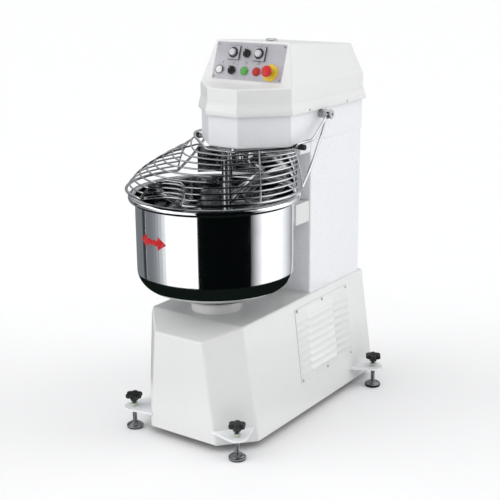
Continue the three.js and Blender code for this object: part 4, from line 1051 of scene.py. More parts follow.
def selector(name, x, up, body, node):
    skirt = turned_bm([
        (0, 0), (0.0148, 0), (0.0150, 0.0006), (0.0150, 0.0046), (0.0140, 0.0066), (0.0122, 0.0078),
        (0, 0.0082),
    ], 40)
    grip = bmesh.new()
    half, length, top = 0.0042, 0.0138, 0.0198
    outline = [
        (half * 0.72, -length), (half, -length * 0.6), (half * 0.86, 0.0), (half, length * 0.6),
        (half * 0.6, length),
    ]
    outline += [(-px, py) for px, py in reversed(outline)]
    lower = [grip.verts.new((px, py, 0.006)) for px, py in outline]
    upper = [grip.verts.new((px * 0.84, py * 0.95, top)) for px, py in outline]
    grip.faces.new(list(reversed(lower)))
    grip.faces.new(upper)
    for i in range(len(outline)):
        n = (i + 1) % len(outline)
        grip.faces.new((lower[i], lower[n], upper[n], upper[i]))
    top_rim = [edge for edge in grip.edges if all(vert.co.z > top - 1e-6 for vert in edge.verts)]
    rounded(grip, 0.0009, 3, top_rim)
    stem = turned_bm([(0, -0.022), (0.005, -0.022), *stem_profile], 24)
    placing = on_face(x, up, control_base)
    knob = joined(name, [(skirt, placing), (grip, placing), (stem, placing)], black_plastic, 40)
    set_on(knob, body, "black_plastic", node)
    line_bm = cut_mark([(-0.0006, 0.0035), (0.0006, 0.0035), (0.0006, 0.0122), (-0.0006, 0.0122)])
    printed(
        name + "_index", [(line_bm, at(0, 0))], on_face(x, up, control_base + top), body, white_line,
        0.0002,
    )


selector("mode_switch", mode_x, row_up["upper"], "mode_knob", "mode_selector")
selector("speed_switch", speed_x, row_up["lower"], "speed_knob", "speed_selector")


# ---------- Lamp ----------
# A mains lamp: a domed opal lens in a bright turned ring, clamped through the plate from behind.
bright_ring = metal("bright_turned_ring", (0.62, 0.60, 0.58), 0.18)
opal_lens = plain_plastic("opal_lens", (0.80, 0.81, 0.80), 0.12)


def lower_row(x):
    return on_face(x, row_up["lower"], control_base)


ring_profile = [
    (0.0114, 0.0), (0.0163, 0.0), (0.0165, 0.0008), (0.0162, 0.0036), (0.0150, 0.0048), (0.0132, 0.0050),
    (0.0114, 0.0044), (0.0114, 0.0),
]
turned_piece(
    "lamp_ring", ring_profile, 48, lower_row(lamp_x), bright_ring, "frame", "polished_steel", "lamp_bezel",
)
dome = [(0, -0.022), (0.0109, -0.022), (0.0109, 0.0046)]
dome += [
    (0.0128 * math.cos(math.radians(turn)), 0.0050 + 0.0038 * math.sin(math.radians(turn)))
    for turn in range(0, 90, 15)
]
dome.append((0, 0.0088))
turned_piece("lamp_dome", dome, 48, lower_row(lamp_x), opal_lens, "frame", "lens_plastic", "lamp_lens")


# ---------- Start and stop buttons ----------
# Push buttons in coloured plastic: a ring screwed down on the plate and a domed cap of the same colour in
# it, green to start and red to stop, each travelling 4 mm against its spring.
green_plastic = plain_plastic("green_button_plastic", (0.115, 0.40, 0.085), 0.3)
red_plastic = plain_plastic("red_button_plastic", (0.50, 0.02, 0.018), 0.3)


def push_button(name, x, plastic, slot):
    ring = [
        (0.0114, -0.021), (0.0134, -0.021), (0.0134, 0.0), (0.0152, 0.0), (0.0155, 0.0007),
        (0.0153, 0.0036),
        (0.0144, 0.0048), (0.0130, 0.0052), (0.0117, 0.0047), (0.0114, 0.0040), (0.0114, -0.021),
    ]
    turned_piece(name + "_ring", ring, 48, lower_row(x), plastic, "frame", slot, name + "_bezel")
    cap_profile = [(0, -0.011), (0.0106, -0.011), (0.0110, -0.0104), (0.0110, 0.0052)]
    cap_profile += [(0.0101, 0.0061), (0.0080, 0.0067), (0.0045, 0.0070), (0, 0.0070)]
    turned_piece(name + "_cap", cap_profile, 48, lower_row(x), plastic, name, slot, name + "_button")


push_button("start", start_x, green_plastic, "green_plastic")
push_button("stop", stop_x, red_plastic, "red_plastic")


# ---------- Emergency stop ----------
# A red mushroom head on a black neck stands off a yellow disc; it latches when struck.
yellow_plastic = plain_plastic("yellow_disc_plastic", (0.80, 0.55, 0.012), 0.38)
emergency_red = plain_plastic("emergency_red_plastic", (0.62, 0.022, 0.02), 0.28)
emergency_place = lower_row(across("emergency_disc"))
neck_top, mushroom_radius = 0.022, 0.020
disc_profile = [
    (0.0055, 0.0), (0.0298, 0.0), (0.0300, 0.0003), (0.0300, 0.0015), (0.0294, 0.0020), (0.0055, 0.0020),
    (0.0055, 0.0),
]
neck_profile = [
    (0, -0.0237), (0.005, -0.0237), (0.005, 0.0096), (0.0118, 0.0104), (0.0122, 0.0112), (0.0122, neck_top),
    (0, neck_top),
]
head_profile = [
    (0, neck_top - 0.0002), (0.0176, neck_top - 0.0002), (0.0194, neck_top + 0.0008),
    (mushroom_radius, neck_top + 0.0028),
]
head_profile += [
    (
        mushroom_radius * math.cos(math.radians(turn)),
        neck_top + 0.0040 + 0.0100 * math.sin(math.radians(turn)),
    )
    for turn in range(0, 90, 10)
]
head_profile.append((0, neck_top + 0.0140))
turned_piece(
    "emergency_back_disc", disc_profile, 64, emergency_place, yellow_plastic,
    "frame", "yellow_plastic", "emergency_disc",
)
turned_piece(
    "emergency_neck", neck_profile, 40, emergency_place, black_plastic,
    "emergency", "black_plastic", "emergency_button",
)
turned_piece("emergency_head", head_profile, 56, emergency_place, emergency_red, "emergency", "red_plastic")


# ---------- Bowl ----------
# Spun stainless bowl, 3 mm thick, mirror polished outside, with a deep corner radius and a rolled rim.
# Its wall carries a red two-headed arrow that shows it may turn either way.
def mirror_steel(name, colour=(0.80, 0.81, 0.82), gloss=0.045):
    """Polished stainless: very fine turning lines, soft smears from wiping, and a few dull specks."""
    finish = Finish(name, {"Metallic": 1.0})
    smear = finish.noise(0.09, 5.0).ramp(0.45, 0.75)
    lines = finish.noise(0.0012, 2.0, at=finish.stretched(0.02, 0.02, 1))
    speck = finish.noise(0.004, 1.0).ramp(0.70, 0.76)
    finish.feed(
        Base_Color=finish.mixed(smear * 0.25 + speck * 0.3, colour, (0.58, 0.59, 0.60)),
        Roughness=smear * 0.05 + lines * 0.025 + speck * 0.15 + gloss,
    )
    finish.raised(lines, 0.000006, 0.25)
    return finish.material


def standing(piece_axis, bottom=0.0):
    return Matrix.Translation((piece_axis.x, piece_axis.y, bottom))


def arc_profile(centre_radius, centre_height, radius, from_turn, to_turn, steps):
    """Points round an arc of a profile; turns are degrees from outward, positive upward."""
    points = []
    for step in range(steps + 1):
        turn = math.radians(from_turn + (to_turn - from_turn) * step / steps)
        points.append((centre_radius + radius * math.cos(turn), centre_height + radius * math.sin(turn)))
    return points


bowl_wall, bowl_corner, roll_radius = 0.003, 0.072, 0.012
bowl_radius = (bowl_high.x - bowl_low.x) / 2 - 2 * roll_radius + 0.001
bowl_height = bowl_high.z - bowl_low.z
corner_centre = bowl_radius - bowl_corner
roll_centre, roll_height = bowl_radius + roll_radius - 0.001, bowl_height - roll_radius

profile = [(0, 0), (0.08, 0), (0.15, 0)]
profile += arc_profile(corner_centre, bowl_corner, bowl_corner, -90, 0, 14)
profile += [(bowl_radius, bowl_corner + (roll_height - bowl_corner) * step / 4) for step in range(1, 4)]
profile += arc_profile(roll_centre, roll_height, roll_radius, -172, 90, 18)
profile += arc_profile(bowl_radius + 0.006, bowl_height - 0.009, 0.009, 90, 180, 6)
profile += [(bowl_radius - bowl_wall, bowl_height * 0.6), (bowl_radius - bowl_wall, bowl_height * 0.35)]
profile += arc_profile(corner_centre, bowl_corner, bowl_corner - bowl_wall, 0, -90, 12)
profile += [(0.12, bowl_wall), (0, bowl_wall)]
mirror = mirror_steel("mirror_polished_steel")
turned_piece(
    "mixing_bowl", profile, 128, standing(bowl_axis, bowl_low.z), mirror, "bowl_turn", "polished_steel",
    "bowl",
)

arrow_red = plain_plastic("red_arrow_film", (0.47, 0.006, 0.012), 0.6)
arrow_red.node_tree.nodes["Principled BSDF"].inputs["Specular IOR Level"].default_value = 0.12
arrow_turn, arrow_half, arrow_height = math.radians(-13.0), math.radians(14.0), 0.205


def wall_arrow():
    """A thin two-headed arrow that follows the bowl's wall."""
    head, shaft, neck = 0.0245, 0.0095, 0.42
    top = [(-1, 0.0), (-neck, head), (-neck, shaft), (neck, shaft), (neck, head), (1, 0.0)]
    bm = bmesh.new()
    stations = 40
    for step in range(stations):
        cells = []
        for edge in (step, step + 1):
            along = -1 + 2 * edge / stations
            inner = along + 1e-6 * (1 if edge == step else -1)
            for (x0, h0), (x1, h1) in zip(top, top[1:]):
                if x1 - x0 > 1e-9 and x0 - 1e-9 <= inner <= x1 + 1e-9:
                    cells.append((along, h0 + (h1 - h0) * (along - x0) / (x1 - x0)))
                    break
        corners = []
        for along, half in (cells[0], cells[1]):
            turn = -math.pi / 2 + arrow_turn + along * arrow_half
            for height in (-half, half):
                for out in (0.0001, 0.0004):
                    reach = bowl_radius + out
                    corners.append((reach * math.cos(turn), reach * math.sin(turn), arrow_height + height))
        slab = block(corners) if cells[0][1] > 1e-5 or cells[1][1] > 1e-5 else None
        if slab:
            mesh = bpy.data.meshes.new("slab")
            slab.to_mesh(mesh)
            slab.free()
            bm.from_mesh(mesh)
            bpy.data.meshes.remove(mesh)
    bmesh.ops.remove_doubles(bm, verts=bm.verts, dist=1e-6)
    return bm


arrow = joined("turning_arrow", [(wall_arrow(), standing(bowl_axis, bowl_low.z))], arrow_red)
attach(arrow, "bowl_turn")


# ---------- Bowl foot and bearing housing ----------
# The bowl is bolted to a turned steel foot plate on its drive shaft. The shaft runs in a white cast housing
# whose domed collar sits on the deck and whose tube hangs inside the pedestal.
foot_low, foot_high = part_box("bowl_spindle")
foot_radius = (foot_high.x - foot_low.x) / 2
plate_bottom_z = foot_high.z - 0.020
foot_profile = [
    (0, foot_low.z), (0.0238, foot_low.z), (0.025, foot_low.z + 0.0012), (0.025, plate_bottom_z - 0.006),
    (0.0895, plate_bottom_z), (foot_radius - 0.001, plate_bottom_z), (foot_radius, plate_bottom_z + 0.001),
]
foot_profile += arc_profile(foot_radius - 0.004, foot_high.z - 0.004, 0.004, 0, 90, 5)
foot_profile += [(0, foot_high.z)]
turned_steel = metal("turned_steel", (0.55, 0.56, 0.57), 0.28, 0.2)
turned_piece(
    "bowl_foot", foot_profile, 96, standing(bowl_axis), turned_steel, "bowl_turn", "plain_steel",
    "bowl_spindle",
)

housing_low, housing_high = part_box("bowl_bearing_housing")
deck_z = pedestal_high.z
bore = 0.0256
housing_profile = [
    (bore, housing_low.z), (0.050, housing_low.z), (0.050, deck_z + 0.0003), (0.0875, deck_z + 0.0003),
    (0.088, deck_z + 0.001), (0.088, deck_z + 0.024),
]
housing_profile += arc_profile(0.078, deck_z + 0.026, 0.010, 0, 90, 7)
housing_profile += [(0.058, housing_high.z), (bore, housing_high.z), (bore, housing_low.z)]
cast_white = powder_coat("white_coated_casting", (0.74, 0.74, 0.735), 0.2)
turned_piece(
    "bowl_bearing", housing_profile, 80, standing(bowl_axis), cast_white,
    "frame", "white_paint", "bowl_bearing_housing",
)


# ---------- Spiral hook ----------
# A forged and polished stainless bar wound into a spiral, welded to a hub that is keyed on the spindle.
# It turns with the spindle close to the bowl's wall and floor.
def swept_bar(name, points, radius, steps=6, sides=3):
    """A smooth round bar along points, as a mesh with closed ends."""
    curve = bpy.data.curves.new(name, "CURVE")
    curve.dimensions = "3D"
    curve.bevel_depth = radius
    curve.bevel_resolution = sides
    curve.use_fill_caps = True
    curve.resolution_u = steps
    spline = curve.splines.new("NURBS")
    spline.points.add(len(points) - 1)
    for spot, point in zip(spline.points, points):
        spot.co = (*point, 1)
    spline.order_u = 3
    spline.use_endpoint_u = True
    rod = bpy.data.objects.new(name, curve)
    bpy.context.scene.collection.objects.link(rod)
    mesh = bpy.data.meshes.new_from_object(rod.evaluated_get(bpy.context.evaluated_depsgraph_get()))
    bpy.data.objects.remove(rod)
    bm = bmesh.new()
    bm.from_mesh(mesh)
    bpy.data.meshes.remove(mesh)
    bmesh.ops.remove_doubles(bm, verts=bm.verts, dist=1e-6)
    return bm


hook_low, hook_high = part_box("spiral_hook")
hook_bar, hub_radius, hub_length = 0.014, 0.032, 0.045
hub_foot = hook_high.z - hub_length
hook_reach = 0.080 - hook_bar
hook_start, hook_end = hub_foot + hook_bar, hook_low.z + hook_bar
hook_turns, stations_round = 1.25, 40
hook_foot = spindle_axis.xy.to_3d()
hook_points = [hook_foot + Vector((0, 0, hook_start + 0.012)), hook_foot + Vector((0, 0, hook_start))]
for station in range(1, stations_round + 1):
    share = station / stations_round
    turn = share * hook_turns * 2 * math.pi
    opening = min(1.0, station / 6, 0.35 + (stations_round - station) / 6)
    reach = hook_reach * math.sin(opening * math.pi / 2)
    height = hook_start + (hook_end - hook_start) * min(1.0, share * 1.04)
    hook_points.append(hook_foot + Vector((reach * math.cos(turn), reach * math.sin(turn), height)))
tip = hook_points[-1]
hub_bm = turned_bm([
    (0, hub_foot), (hub_radius - 0.003, hub_foot), (hub_radius - 0.0008, hub_foot + 0.0008),
    (hub_radius, hub_foot + 0.003),
    (hub_radius, hook_high.z - 0.003), (hub_radius - 0.0008, hook_high.z - 0.0008),
    (hub_radius - 0.003, hook_high.z),
    (0.0206, hook_high.z), (0.0206, hub_foot + 0.0095), (0, hub_foot + 0.0095),
], 64)
ball_end = bmesh.new()
bmesh.ops.create_uvsphere(ball_end, u_segments=20, v_segments=12, radius=hook_bar * 0.999)
hook = joined("spiral_hook_bar", [
    (swept_bar("hook", hook_points, hook_bar, sides=6), Matrix.Identity(4)),
    (hub_bm, standing(spindle_axis)), (ball_end, Matrix.Translation(tip)),
], mirror, 50)
set_on(hook, "spiral_turn", "polished_steel", "spiral_hook")


# ---------- Centre post ----------
# The fixed breaker bar that the dough is worked against: a polished round bar with a rounded tip, hung
# from the head's floor by a welded collar.
post_low, post_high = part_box("centre_post")
post_axis = middle("centre_post")
post_radius, collar_radius, collar_height = 0.019, 0.032, 0.016
post_profile = [(0, post_low.z), (0.0085, post_low.z)]
post_profile += arc_profile(post_radius - 0.0105, post_low.z + 0.0105, 0.0105, -90, 0, 6)
collar_bottom = post_high.z - collar_height
post_profile += [
    (post_radius, collar_bottom - 0.003), (post_radius + 0.001, collar_bottom - 0.0008),
    (post_radius + 0.003, collar_bottom), (collar_radius - 0.0015, collar_bottom),
    (collar_radius, collar_bottom + 0.0015), (collar_radius, post_high.z - 0.001),
    (collar_radius - 0.001, post_high.z), (0, post_high.z),
]
turned_piece(
    "breaker_bar", post_profile, 64, standing(post_axis), mirror, "frame", "polished_steel", "centre_post",
)


# ---------- Rear shield ----------
# A curved polished sheet behind the bowl, 2 mm thick with hemmed edges, bracketed to the column by two
# tabs.
shield_low, shield_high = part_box("rear_shield")
shield_radius, shield_half, shield_sheet = bowl_radius + 0.013, math.radians(49.0), 0.002
shield_bm = bmesh.new()
shield_steps = 48
heights = [shield_low.z, shield_low.z + 0.004, shield_high.z - 0.004, shield_high.z]
grid = []
for step in range(shield_steps + 1):
    turn = math.pi / 2 - shield_half + 2 * shield_half * step / shield_steps
    grid.append([
        shield_bm.verts.new(
            (shield_radius * math.cos(turn), bowl_axis.y + shield_radius * math.sin(turn), z)
        )
        for z in heights
    ])
for one, two in zip(grid, grid[1:]):
    for i in range(len(heights) - 1):
        shield_bm.faces.new((one[i], two[i], two[i + 1], one[i + 1]))
bmesh.ops.recalc_face_normals(shield_bm, faces=shield_bm.faces)
shield_bm.normal_update()
bmesh.ops.solidify(shield_bm, geom=shield_bm.faces[:], thickness=shield_sheet)
tab_spacing, tab_half, tab_bottom = 0.060, 0.015, shield_low.z + 0.030
tabs = []
for side in (-1, 1):
    reach = shield_radius * math.cos((tab_spacing + 2 * tab_half) / shield_radius)
    tab = rounded(box_block(
        (side * tab_spacing - tab_half, bowl_axis.y + reach + 0.014, tab_bottom),
        (side * tab_spacing + tab_half, column_low.y - 0.0003, tab_bottom + 0.030),
    ), 0.0015, 2)
    tabs.append((tab, Matrix.Identity(4)))
shield = joined("rear_splash_shield", [(shield_bm, Matrix.Identity(4)), *tabs], mirror, 40)
set_on(shield, "frame", "polished_steel", "rear_shield")


# ---------- Guide roller and its box ----------
# A rubber roller in a small white box on the column steadies the bowl's wall as the dough pushes it.
# The box is folded and welded sheet; the roller turns on a steel pin through it.
box_low, box_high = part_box("roller_box")
roller_low, roller_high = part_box("guide_roller")
roller_axis = middle("guide_roller")
roller_radius = (roller_high.x - roller_low.x) / 2
roller_box = piece_from("roller_bracket", rounded(box_block(box_low, box_high), 0.003, 3), cast_white)
cut_away(roller_box, round_cutter(bowl_radius + 0.004, bowl_axis, box_low.z - 0.01, box_high.z + 0.01, 128))
cut_away(roller_box, round_cutter(
    roller_radius + 0.004, roller_axis, roller_low.z - 0.0003, roller_high.z + 0.0003,
))
flats_kept_flat(roller_box)
set_on(roller_box, "frame", "white_paint", "roller_box")
pin_bottom, pin_top, pin_radius = roller_low.z - 0.004, roller_high.z + 0.004, 0.006
pin_profile = [(0, pin_bottom), (pin_radius, pin_bottom), (pin_radius, pin_top), (0, pin_top)]
turned_piece("roller_pin", pin_profile, 24, standing(roller_axis), turned_steel, "frame", "plain_steel")


def rubber(name, colour=(0.018, 0.018, 0.019)):
    """Matt black rubber with a fine grain and patches of paler dust."""
    finish = Finish(name, {"IOR": 1.45})
    dust = finish.noise(0.02, 4.0).ramp(0.5, 0.8)
    finish.feed(
        Base_Color=finish.mixed(dust * 0.35, colour, (0.09, 0.09, 0.088)),
        Roughness=finish.noise(0.004) * 0.15 + 0.66,
    )
    finish.raised(finish.noise(0.0009, 3.0), 0.00006, 0.6)
    return finish.material


black_rubber = rubber("black_rubber")
roller_profile = [(0.0064, roller_low.z)]
roller_profile += arc_profile(roller_radius - 0.002, roller_low.z + 0.002, 0.002, -90, 0, 4)
roller_profile += arc_profile(roller_radius - 0.002, roller_high.z - 0.002, 0.002, 0, 90, 4)
roller_profile += [(0.0064, roller_high.z), (0.0064, roller_low.z)]
turned_piece(
    "guide_wheel", roller_profile, 64, standing(roller_axis), black_rubber, "roller", "black_rubber",
    "guide_roller",
)


# ---------- Wire guard ----------
# A welded guard of polished stainless rod: a 10 mm ring and crossbar, nine 6 mm wires and their ribs,
# with a pocket bent into the front to pour through. Two rod arms run back to eyes that swing on pins in
# the head.
guard_steel = mirror_steel("drawn_steel_rod", (0.57, 0.58, 0.59), 0.10)
guard_radius, ring_height = bowl_radius + 0.028, 0.877
rod, wire = 0.005, 0.003
bar_low, bar_high = Vector((0.060, -0.168, 0.993)), Vector((0.207, -0.038, 1.003))
wire_end = math.radians(117.0)
dome_share = 0.35


def bar_point(share):
    """A place on the crossbar: straight over the front and slanting back at both sides."""
    slant = math.hypot(bar_high.x - bar_low.x, bar_high.y - bar_low.y)
    along = abs(share) * (bar_low.x + slant)
    side = math.copysign(1, share)
    if along <= bar_low.x:
        return Vector((side * along, bar_low.y, bar_low.z))
    place = bar_low.lerp(bar_high, (along - bar_low.x) / slant)
    return Vector((side * place.x, place.y, place.z))


def ring_point(turn):
    return Vector((guard_radius * math.sin(turn), bowl_axis.y - guard_radius * math.cos(turn), ring_height))


def dome_point(turn, depth):
    """A place on the guard's dome, from the crossbar (0) out to the ring (1)."""
    top, edge = bar_point(turn / wire_end), ring_point(turn)
    outward = math.sin(depth * math.pi / 2) * (1 - dome_share) + depth * dome_share
    down = math.cos(depth * math.pi / 2) * (1 - dome_share) + (1 - depth) * dome_share
    return Vector((*top.xy.lerp(edge.xy, outward), edge.z + (top.z - edge.z) * down))


pocket_radius, pocket_middle = 0.085, Vector((0, bowl_axis.y - guard_radius, 0))


def pocket_turn(depth):
    """How far round a wire meets the pocket's edge."""
    near, far = 0.0, wire_end / 2
    for _ in range(30):
        turn = (near + far) / 2
        inside = (dome_point(turn, depth).xy - pocket_middle.xy).length < pocket_radius
        near, far = (turn, far) if inside else (near, turn)
    return near


def dome_wire(depth):
    """One wire from side to side, bent in round the pocket where it meets it."""
    if (dome_point(0, depth).xy - pocket_middle.xy).length > pocket_radius:
        return [dome_point(-wire_end + 2 * wire_end * step / 24, depth) for step in range(25)]
    meet = pocket_turn(depth)
    left = [dome_point(-wire_end + (wire_end - meet) * step / 10, depth) for step in range(11)]
    right = [Vector((-point.x, point.y, point.z)) for point in reversed(left)]
    start = left[-1].xy - pocket_middle.xy
    swing = math.atan2(start.y, start.x)
    bend = []
    for step in range(1, 12):
        turn = swing + (math.pi - 2 * swing) * (step / 12)
        bend.append(Vector((
            pocket_middle.x + pocket_radius * math.cos(turn),
            pocket_middle.y + pocket_radius * math.sin(turn), left[-1].z,
        )))
    if bend[0].x > 0:
        bend.reverse()
    return left + bend + right


def pocket_arch():
    """The rod where the pocket's wall meets the dome."""
    top = next(share / 100 for share in range(100, 0, -1) if pocket_turn(share / 100) < 1e-4)
    side = []
    for step in range(15):
        depth = 1 + (top + 0.02 - 1) * math.sin(step / 14 * math.pi / 2)
        side.append(dome_point(-pocket_turn(depth), depth))
    return side + [Vector((-point.x, point.y, point.z)) for point in reversed(side)]


def rod_of(points, radius, steps=4, sides=3):
    return (swept_bar("rod", points, radius, steps=steps, sides=sides), Matrix.Identity(4))


def sideways(side, y, z):
    """The placing of a turned piece that points out from the head's left (-1) or right (1) side."""
    return Matrix.Translation((0, y, z)) @ Matrix.Rotation(side * math.pi / 2, 4, "Y")


pivot_low, pivot_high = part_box("guard_pivot_right")
pivot_axis = middle("guard_pivot_right")
arm_reach, arm_rest, rest_run, upper_join = 0.224, 1.0163, 0.070, 0.94
arm_bend = Vector((0.220, -0.024, 1.0143))
low_bend, bow_bend = Vector((0.234, 0.099, 1.010)), Vector((0.252, 0.006, 0.924))
eye_start, eye_length, eye_radius = 0.2086, 0.026, 0.016
rods = [
    rod_of(dome_wire(1.0), rod, 5, 5), rod_of([bar_point(step / 16) for step in range(-16, 17)], rod, 4, 5),
]
rods.append(rod_of(pocket_arch(), wire))
rods += [rod_of(dome_wire(step / 10), wire) for step in range(1, 10)]
rods += [
    rod_of([dome_point(turn, step / 12) for step in range(13)], wire)
    for turn in (-wire_end, -math.radians(66), math.radians(66), wire_end)
]
for side in (-1, 1):
    eye = Vector((side * arm_reach, pivot_axis.y, pivot_axis.z))
    mirrored = Vector((side, 1, 1))
    run_end, ring_end = Vector((side * arm_reach, rest_run, arm_rest)), ring_point(side * wire_end)
    low, bow = low_bend * mirrored, bow_bend * mirrored
    upper = [bar_point(upper_join * side), bar_point(side), arm_bend * mirrored]
    upper += [(side * arm_reach, rest_run * step / 2, arm_rest) for step in range(3)]
    upper += [run_end.lerp(eye, step / 3) for step in (1, 2, 3)]
    lower = [eye, eye.lerp(low, 0.6), low, bow, bow.lerp(ring_end, 0.6), ring_end]
    rods += [rod_of(upper, rod, 6, 5), rod_of(lower, rod, 6, 5)]
    eye_bm = turned_bm([
        (0.0083, eye_start), (eye_radius - 0.001, eye_start), (eye_radius, eye_start + 0.001),
        (eye_radius, eye_start + eye_length - 0.001), (eye_radius - 0.001, eye_start + eye_length),
        (0.0083, eye_start + eye_length), (0.0083, eye_start),
    ], 48)
    rods.append((eye_bm, sideways(side, pivot_axis.y, pivot_axis.z)))
guard = joined("welded_rod_guard", rods, guard_steel, 60)
set_on(guard, "guard", "polished_steel", "wire_guard")


# ---------- Guard pivots and rests ----------
# Turned stainless pins are screwed into the head's sides and carry the guard's eyes. Two pegs with rubber
# caps stop the arms when the guard is down.
for side, name in ((-1, "left"), (1, "right")):
    start, tip_end = pivot_low.x, pivot_high.x
    pin_profile = [
        (0, start), (0.0155, start), (0.016, start + 0.0005), (0.016, start + 0.0155),
        (0.0155, start + 0.016),
        (0.008, start + 0.016), (0.008, tip_end - 0.006), (0.015, tip_end - 0.006),
        (0.016, tip_end - 0.005),
        (0.016, tip_end - 0.0015), (0.0145, tip_end), (0.005, tip_end), (0.005, tip_end - 0.003),
        (0, tip_end - 0.003),
    ]
    turned_piece(
        "pivot_pin_" + name, pin_profile, 48, sideways(side, pivot_axis.y, pivot_axis.z), turned_steel,
        "frame", "plain_steel", "guard_pivot_" + name,
    )

    peg_low, peg_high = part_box("rest_peg_right")
    resting = sideways(side, 0, (peg_low.z + peg_high.z) / 2)
    peg_profile = [
        (0, peg_low.x), (0.008, peg_low.x), (0.008, peg_high.x - 0.001), (0.007, peg_high.x),
        (0, peg_high.x),
    ]
    turned_piece(
        "rest_pin_" + name, peg_profile, 32, resting, turned_steel, "frame", "plain_steel",
        "rest_peg_" + name,
    )
    cap_low, cap_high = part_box("peg_cap_right")
    cap_profile = [
        (0.0084, cap_low.x), (0.009, cap_low.x), (0.010, cap_low.x + 0.001), (0.010, cap_high.x - 0.0025),
        (0.0092, cap_high.x - 0.0007), (0.0075, cap_high.x), (0, cap_high.x), (0, cap_high.x - 0.002),
        (0.0084, cap_high.x - 0.002), (0.0084, cap_low.x),
    ]
    turned_piece(
        "rest_cap_" + name, cap_profile, 40, resting, black_rubber, "frame", "black_rubber",
        "peg_cap_" + name,
    )


# ---------- Levelling feet ----------
# Four jacking feet: a zinc plated M16 screw with a stepped pad on a rubber sole, run through a nut on a
# white steel bracket welded to the casing. A moulded six-lobed hand knob turns each screw.
zinc_dark = metal("worn_zinc_plate", (0.27, 0.28, 0.285), 0.24)
knob_black = plain_plastic("moulded_black_knob", (0.005, 0.005, 0.006), 0.42)
nylon = plain_plastic("nylon_washer", (0.50, 0.56, 0.46), 0.42)
bracket_sheet, bracket_reach, root_half = 0.008, 0.036, 0.075


def threaded_rod(low, high, radius, pitch):
    """A screw's thread as a steep helix of crests and roots."""
    bm = bmesh.new()
    segments = 20
    rings = int((high - low) / pitch * 4)
    rows = []
    for row in range(rings + 1):
        ring = []
        for i in range(segments):
            turn = 2 * math.pi * i / segments
            z = low + (high - low) * row / rings
            wave = abs(((z / pitch + i / segments) % 1.0) - 0.5) * 2
            reach = radius - 0.0011 * wave
            ring.append(bm.verts.new((reach * math.cos(turn), reach * math.sin(turn), z)))
        rows.append(ring)
    for one, two in zip(rows, rows[1:]):
        for i in range(segments):
            bm.faces.new((one[i], one[(i + 1) % segments], two[(i + 1) % segments], two[i]))
    bm.faces.new(list(reversed(rows[0])))
    bm.faces.new(rows[-1])
    return bm


def lobed_knob(low, high, radius, lobes):
    """A hand knob: a lobed grip with rounded edges over a tapered neck."""
    bm = bmesh.new()
    steps = lobes * 16
    neck_top = low + (high - low) * 0.38
    levels = [
        (low, 0.0, 0.0125), (low + 0.0008, 0.0, 0.0135), (neck_top - 0.003, 0.0, 0.0155),
        (neck_top, 0.55, 0.0),
        (neck_top + 0.0015, 0.9, 0.0), (neck_top + 0.004, 1.0, 0.0), (high - 0.0045, 1.0, 0.0),
        (high - 0.002, 0.94, 0.0),
        (high - 0.0006, 0.84, 0.0), (high, 0.70, 0.0),
    ]
    rows = []
    for z, share, plain in levels:
        ring = []
        for i in range(steps):
            turn = 2 * math.pi * i / steps
            wave = 0.5 + 0.5 * math.cos(turn * lobes)
            lobe = radius - 0.0070 * (1 - wave) ** 1.3
            reach = plain if plain else lobe * share
            ring.append(bm.verts.new((reach * math.cos(turn), reach * math.sin(turn), z)))
        rows.append(ring)
    for one, two in zip(rows, rows[1:]):
        for i in range(steps):
            bm.faces.new((one[i], one[(i + 1) % steps], two[(i + 1) % steps], two[i]))
    for ring, down in ((rows[0], True), (rows[-1], False)):
        centre = bm.verts.new((0, 0, levels[0][0] if down else levels[-1][0]))
        for i in range(steps):
            pair = (ring[i], ring[(i + 1) % steps])
            bm.faces.new((centre, *(reversed(pair) if down else pair)))
    return bm


def bracket_outline(x, y, out):
    """The bracket's plate: round about its screw and spreading to the casing."""
    across = Vector((-out.y, out.x, 0)).normalized() * root_half
    root = Vector((x, y, 0)) - out
    heart = -out.normalized()
    outline = []
    for step in range(25):
        turn = math.atan2(-heart.y, -heart.x) - math.radians(75) + math.radians(150) * step / 24
        outline.append(Vector((x + bracket_reach * math.cos(turn), y + bracket_reach * math.sin(turn), 0)))
    ends = [root + across, root - across]
    outline += sorted(ends, key=lambda end: (end - outline[-1]).length)
    return outline


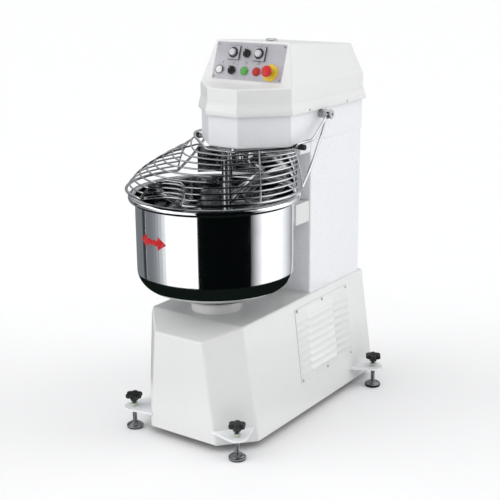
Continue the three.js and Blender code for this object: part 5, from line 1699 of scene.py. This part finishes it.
for name, corner in (
    ("front_left", (-1, -1)), ("front_right", (1, -1)), ("rear_left", (-1, 1)), ("rear_right", (1, 1)),
):
    body = "foot_" + name
    screw_low, screw_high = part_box("foot_screw_" + name)
    knob_low, knob_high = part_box("foot_knob_" + name)
    bracket_low, bracket_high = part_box("foot_bracket_" + name)
    centre = middle("foot_screw_" + name)
    out = Vector((corner[0] * 0.046, -0.040, 0)) if corner[1] < 0 else Vector((corner[0] * 0.066, 0, 0))
    plate_low, plate_top = bracket_low.z, bracket_low.z + bracket_sheet
    outline = bracket_outline(centre.x, centre.y, out)
    plate = piece_from("foot_plate_" + name, rounded(
        block([(p.x, p.y, z) for p in outline for z in (plate_low, plate_top)]), 0.0018, 3,
    ), white_coat_painted_light)
    casing = block(pedestal_corners(-0.0003, pedestal_low.z - 0.02))
    cut_away(plate, casing)
    bored(plate, 0.0084, standing(centre), plate_low - 0.01, plate_top + 0.03)
    set_on(plate, "frame", "cool_white_paint", "foot_bracket_" + name)
    nut = rounded(block([
        (0.0128 * math.cos(i * math.pi / 3), 0.0128 * math.sin(i * math.pi / 3), z)
        for i in range(6) for z in (plate_top + 0.0001, bracket_high.z)
    ]), 0.0008, 2)
    nut_piece = joined("foot_nut_" + name, [(nut, standing(centre))], nylon, 40)
    bored(nut_piece, 0.0084, standing(centre), plate_low - 0.01, plate_top + 0.03)
    set_on(nut_piece, "frame", "black_plastic")

    pad_edge, pad_radius = screw_low.z + 0.010, (screw_high.x - screw_low.x) / 2
    pad = turned_bm([
        (0, screw_low.z + 0.004), (pad_radius - 0.0015, screw_low.z + 0.004),
        (pad_radius, screw_low.z + 0.0055),
        (pad_radius, pad_edge - 0.0005), (pad_radius - 0.0015, pad_edge + 0.0012),
        (pad_radius * 0.84, pad_edge + 0.0025),
        (pad_radius * 0.80, pad_edge + 0.0045), (pad_radius * 0.70, pad_edge + 0.0068),
        (pad_radius * 0.48, pad_edge + 0.0095),
        (0.0125, pad_edge + 0.0108), (0.0118, pad_edge + 0.0118), (0, pad_edge + 0.012),
    ], 64)
    thread = threaded_rod(pad_edge + 0.0115, knob_low.z + 0.004, 0.008, 0.002)
    screw = joined("foot_spindle_" + name, [(pad, standing(centre)), (thread, standing(centre))], zinc_dark)
    set_on(screw, body, "plain_steel", "foot_screw_" + name)
    sole_profile = [
        (0, screw_low.z), (pad_radius - 0.003, screw_low.z), (pad_radius - 0.0012, screw_low.z + 0.0012),
        (pad_radius - 0.0012, screw_low.z + 0.0042), (0, screw_low.z + 0.0042),
    ]
    turned_piece(
        "foot_sole_" + name, sole_profile, 48, standing(centre), black_rubber, body, "black_rubber",
    )
    knob = joined("foot_knob_grip_" + name, [(
        lobed_knob(knob_low.z, knob_high.z, (knob_high.x - knob_low.x) / 2, 6), standing(centre),
    )], knob_black, 50)
    set_on(knob, body, "black_plastic", "foot_knob_" + name)


# ---------- Drive inside the casings ----------
# A bowl motor low in the pedestal and a spiral motor in the column, each with V-belt pulleys, a sheet steel
# terminal box, and a cast spindle housing. None of it shows until a cover is off.
def cast_metal(name, colour, roughness=0.55):
    """Sand cast metal under a sprayed coat: grainy, with bright rubbed edges and oily dust."""
    finish = Finish(name, {"IOR": 1.45})
    worn = finish.edges(0.53, 0.60) * finish.noise(0.02).ramp(0.35, 0.6)
    dust = finish.noise(0.07, 5.0).ramp(0.45, 0.8)
    painted = finish.mixed(dust * 0.4, colour, tuple(value * 0.55 for value in colour))
    finish.feed(
        Base_Color=finish.mixed(worn, painted, (0.45, 0.45, 0.45)),
        Metallic=worn, Roughness=dust * 0.2 + roughness - worn * 0.2,
    )
    finish.raised(finish.noise(0.003, 4.0), 0.00025, 0.7)
    return finish.material


motor_paint = cast_metal("motor_grey_paint", (0.20, 0.22, 0.24))
pulley_iron = cast_metal("cast_iron_pulley", (0.30, 0.30, 0.31), 0.45)
housing_iron = cast_metal("cast_spindle_housing", (0.34, 0.35, 0.36))
terminal_plastic = plain_plastic("terminal_box_grey", (0.42, 0.43, 0.44), 0.45)
for nodes, finish in (
    (("bowl_motor", "spiral_motor"), motor_paint),
    (("bowl_motor_pulley", "bowl_pulley", "spiral_pulley", "spiral_motor_pulley"), pulley_iron),
    (("spindle_housing",), housing_iron), (("spindle",), turned_steel),
    (("bowl_belt", "spiral_belt"), black_rubber), (("electrical_box",), terminal_plastic),
):
    for node in nodes:
        for slot in bpy.data.objects[node].material_slots:
            slot.material = finish
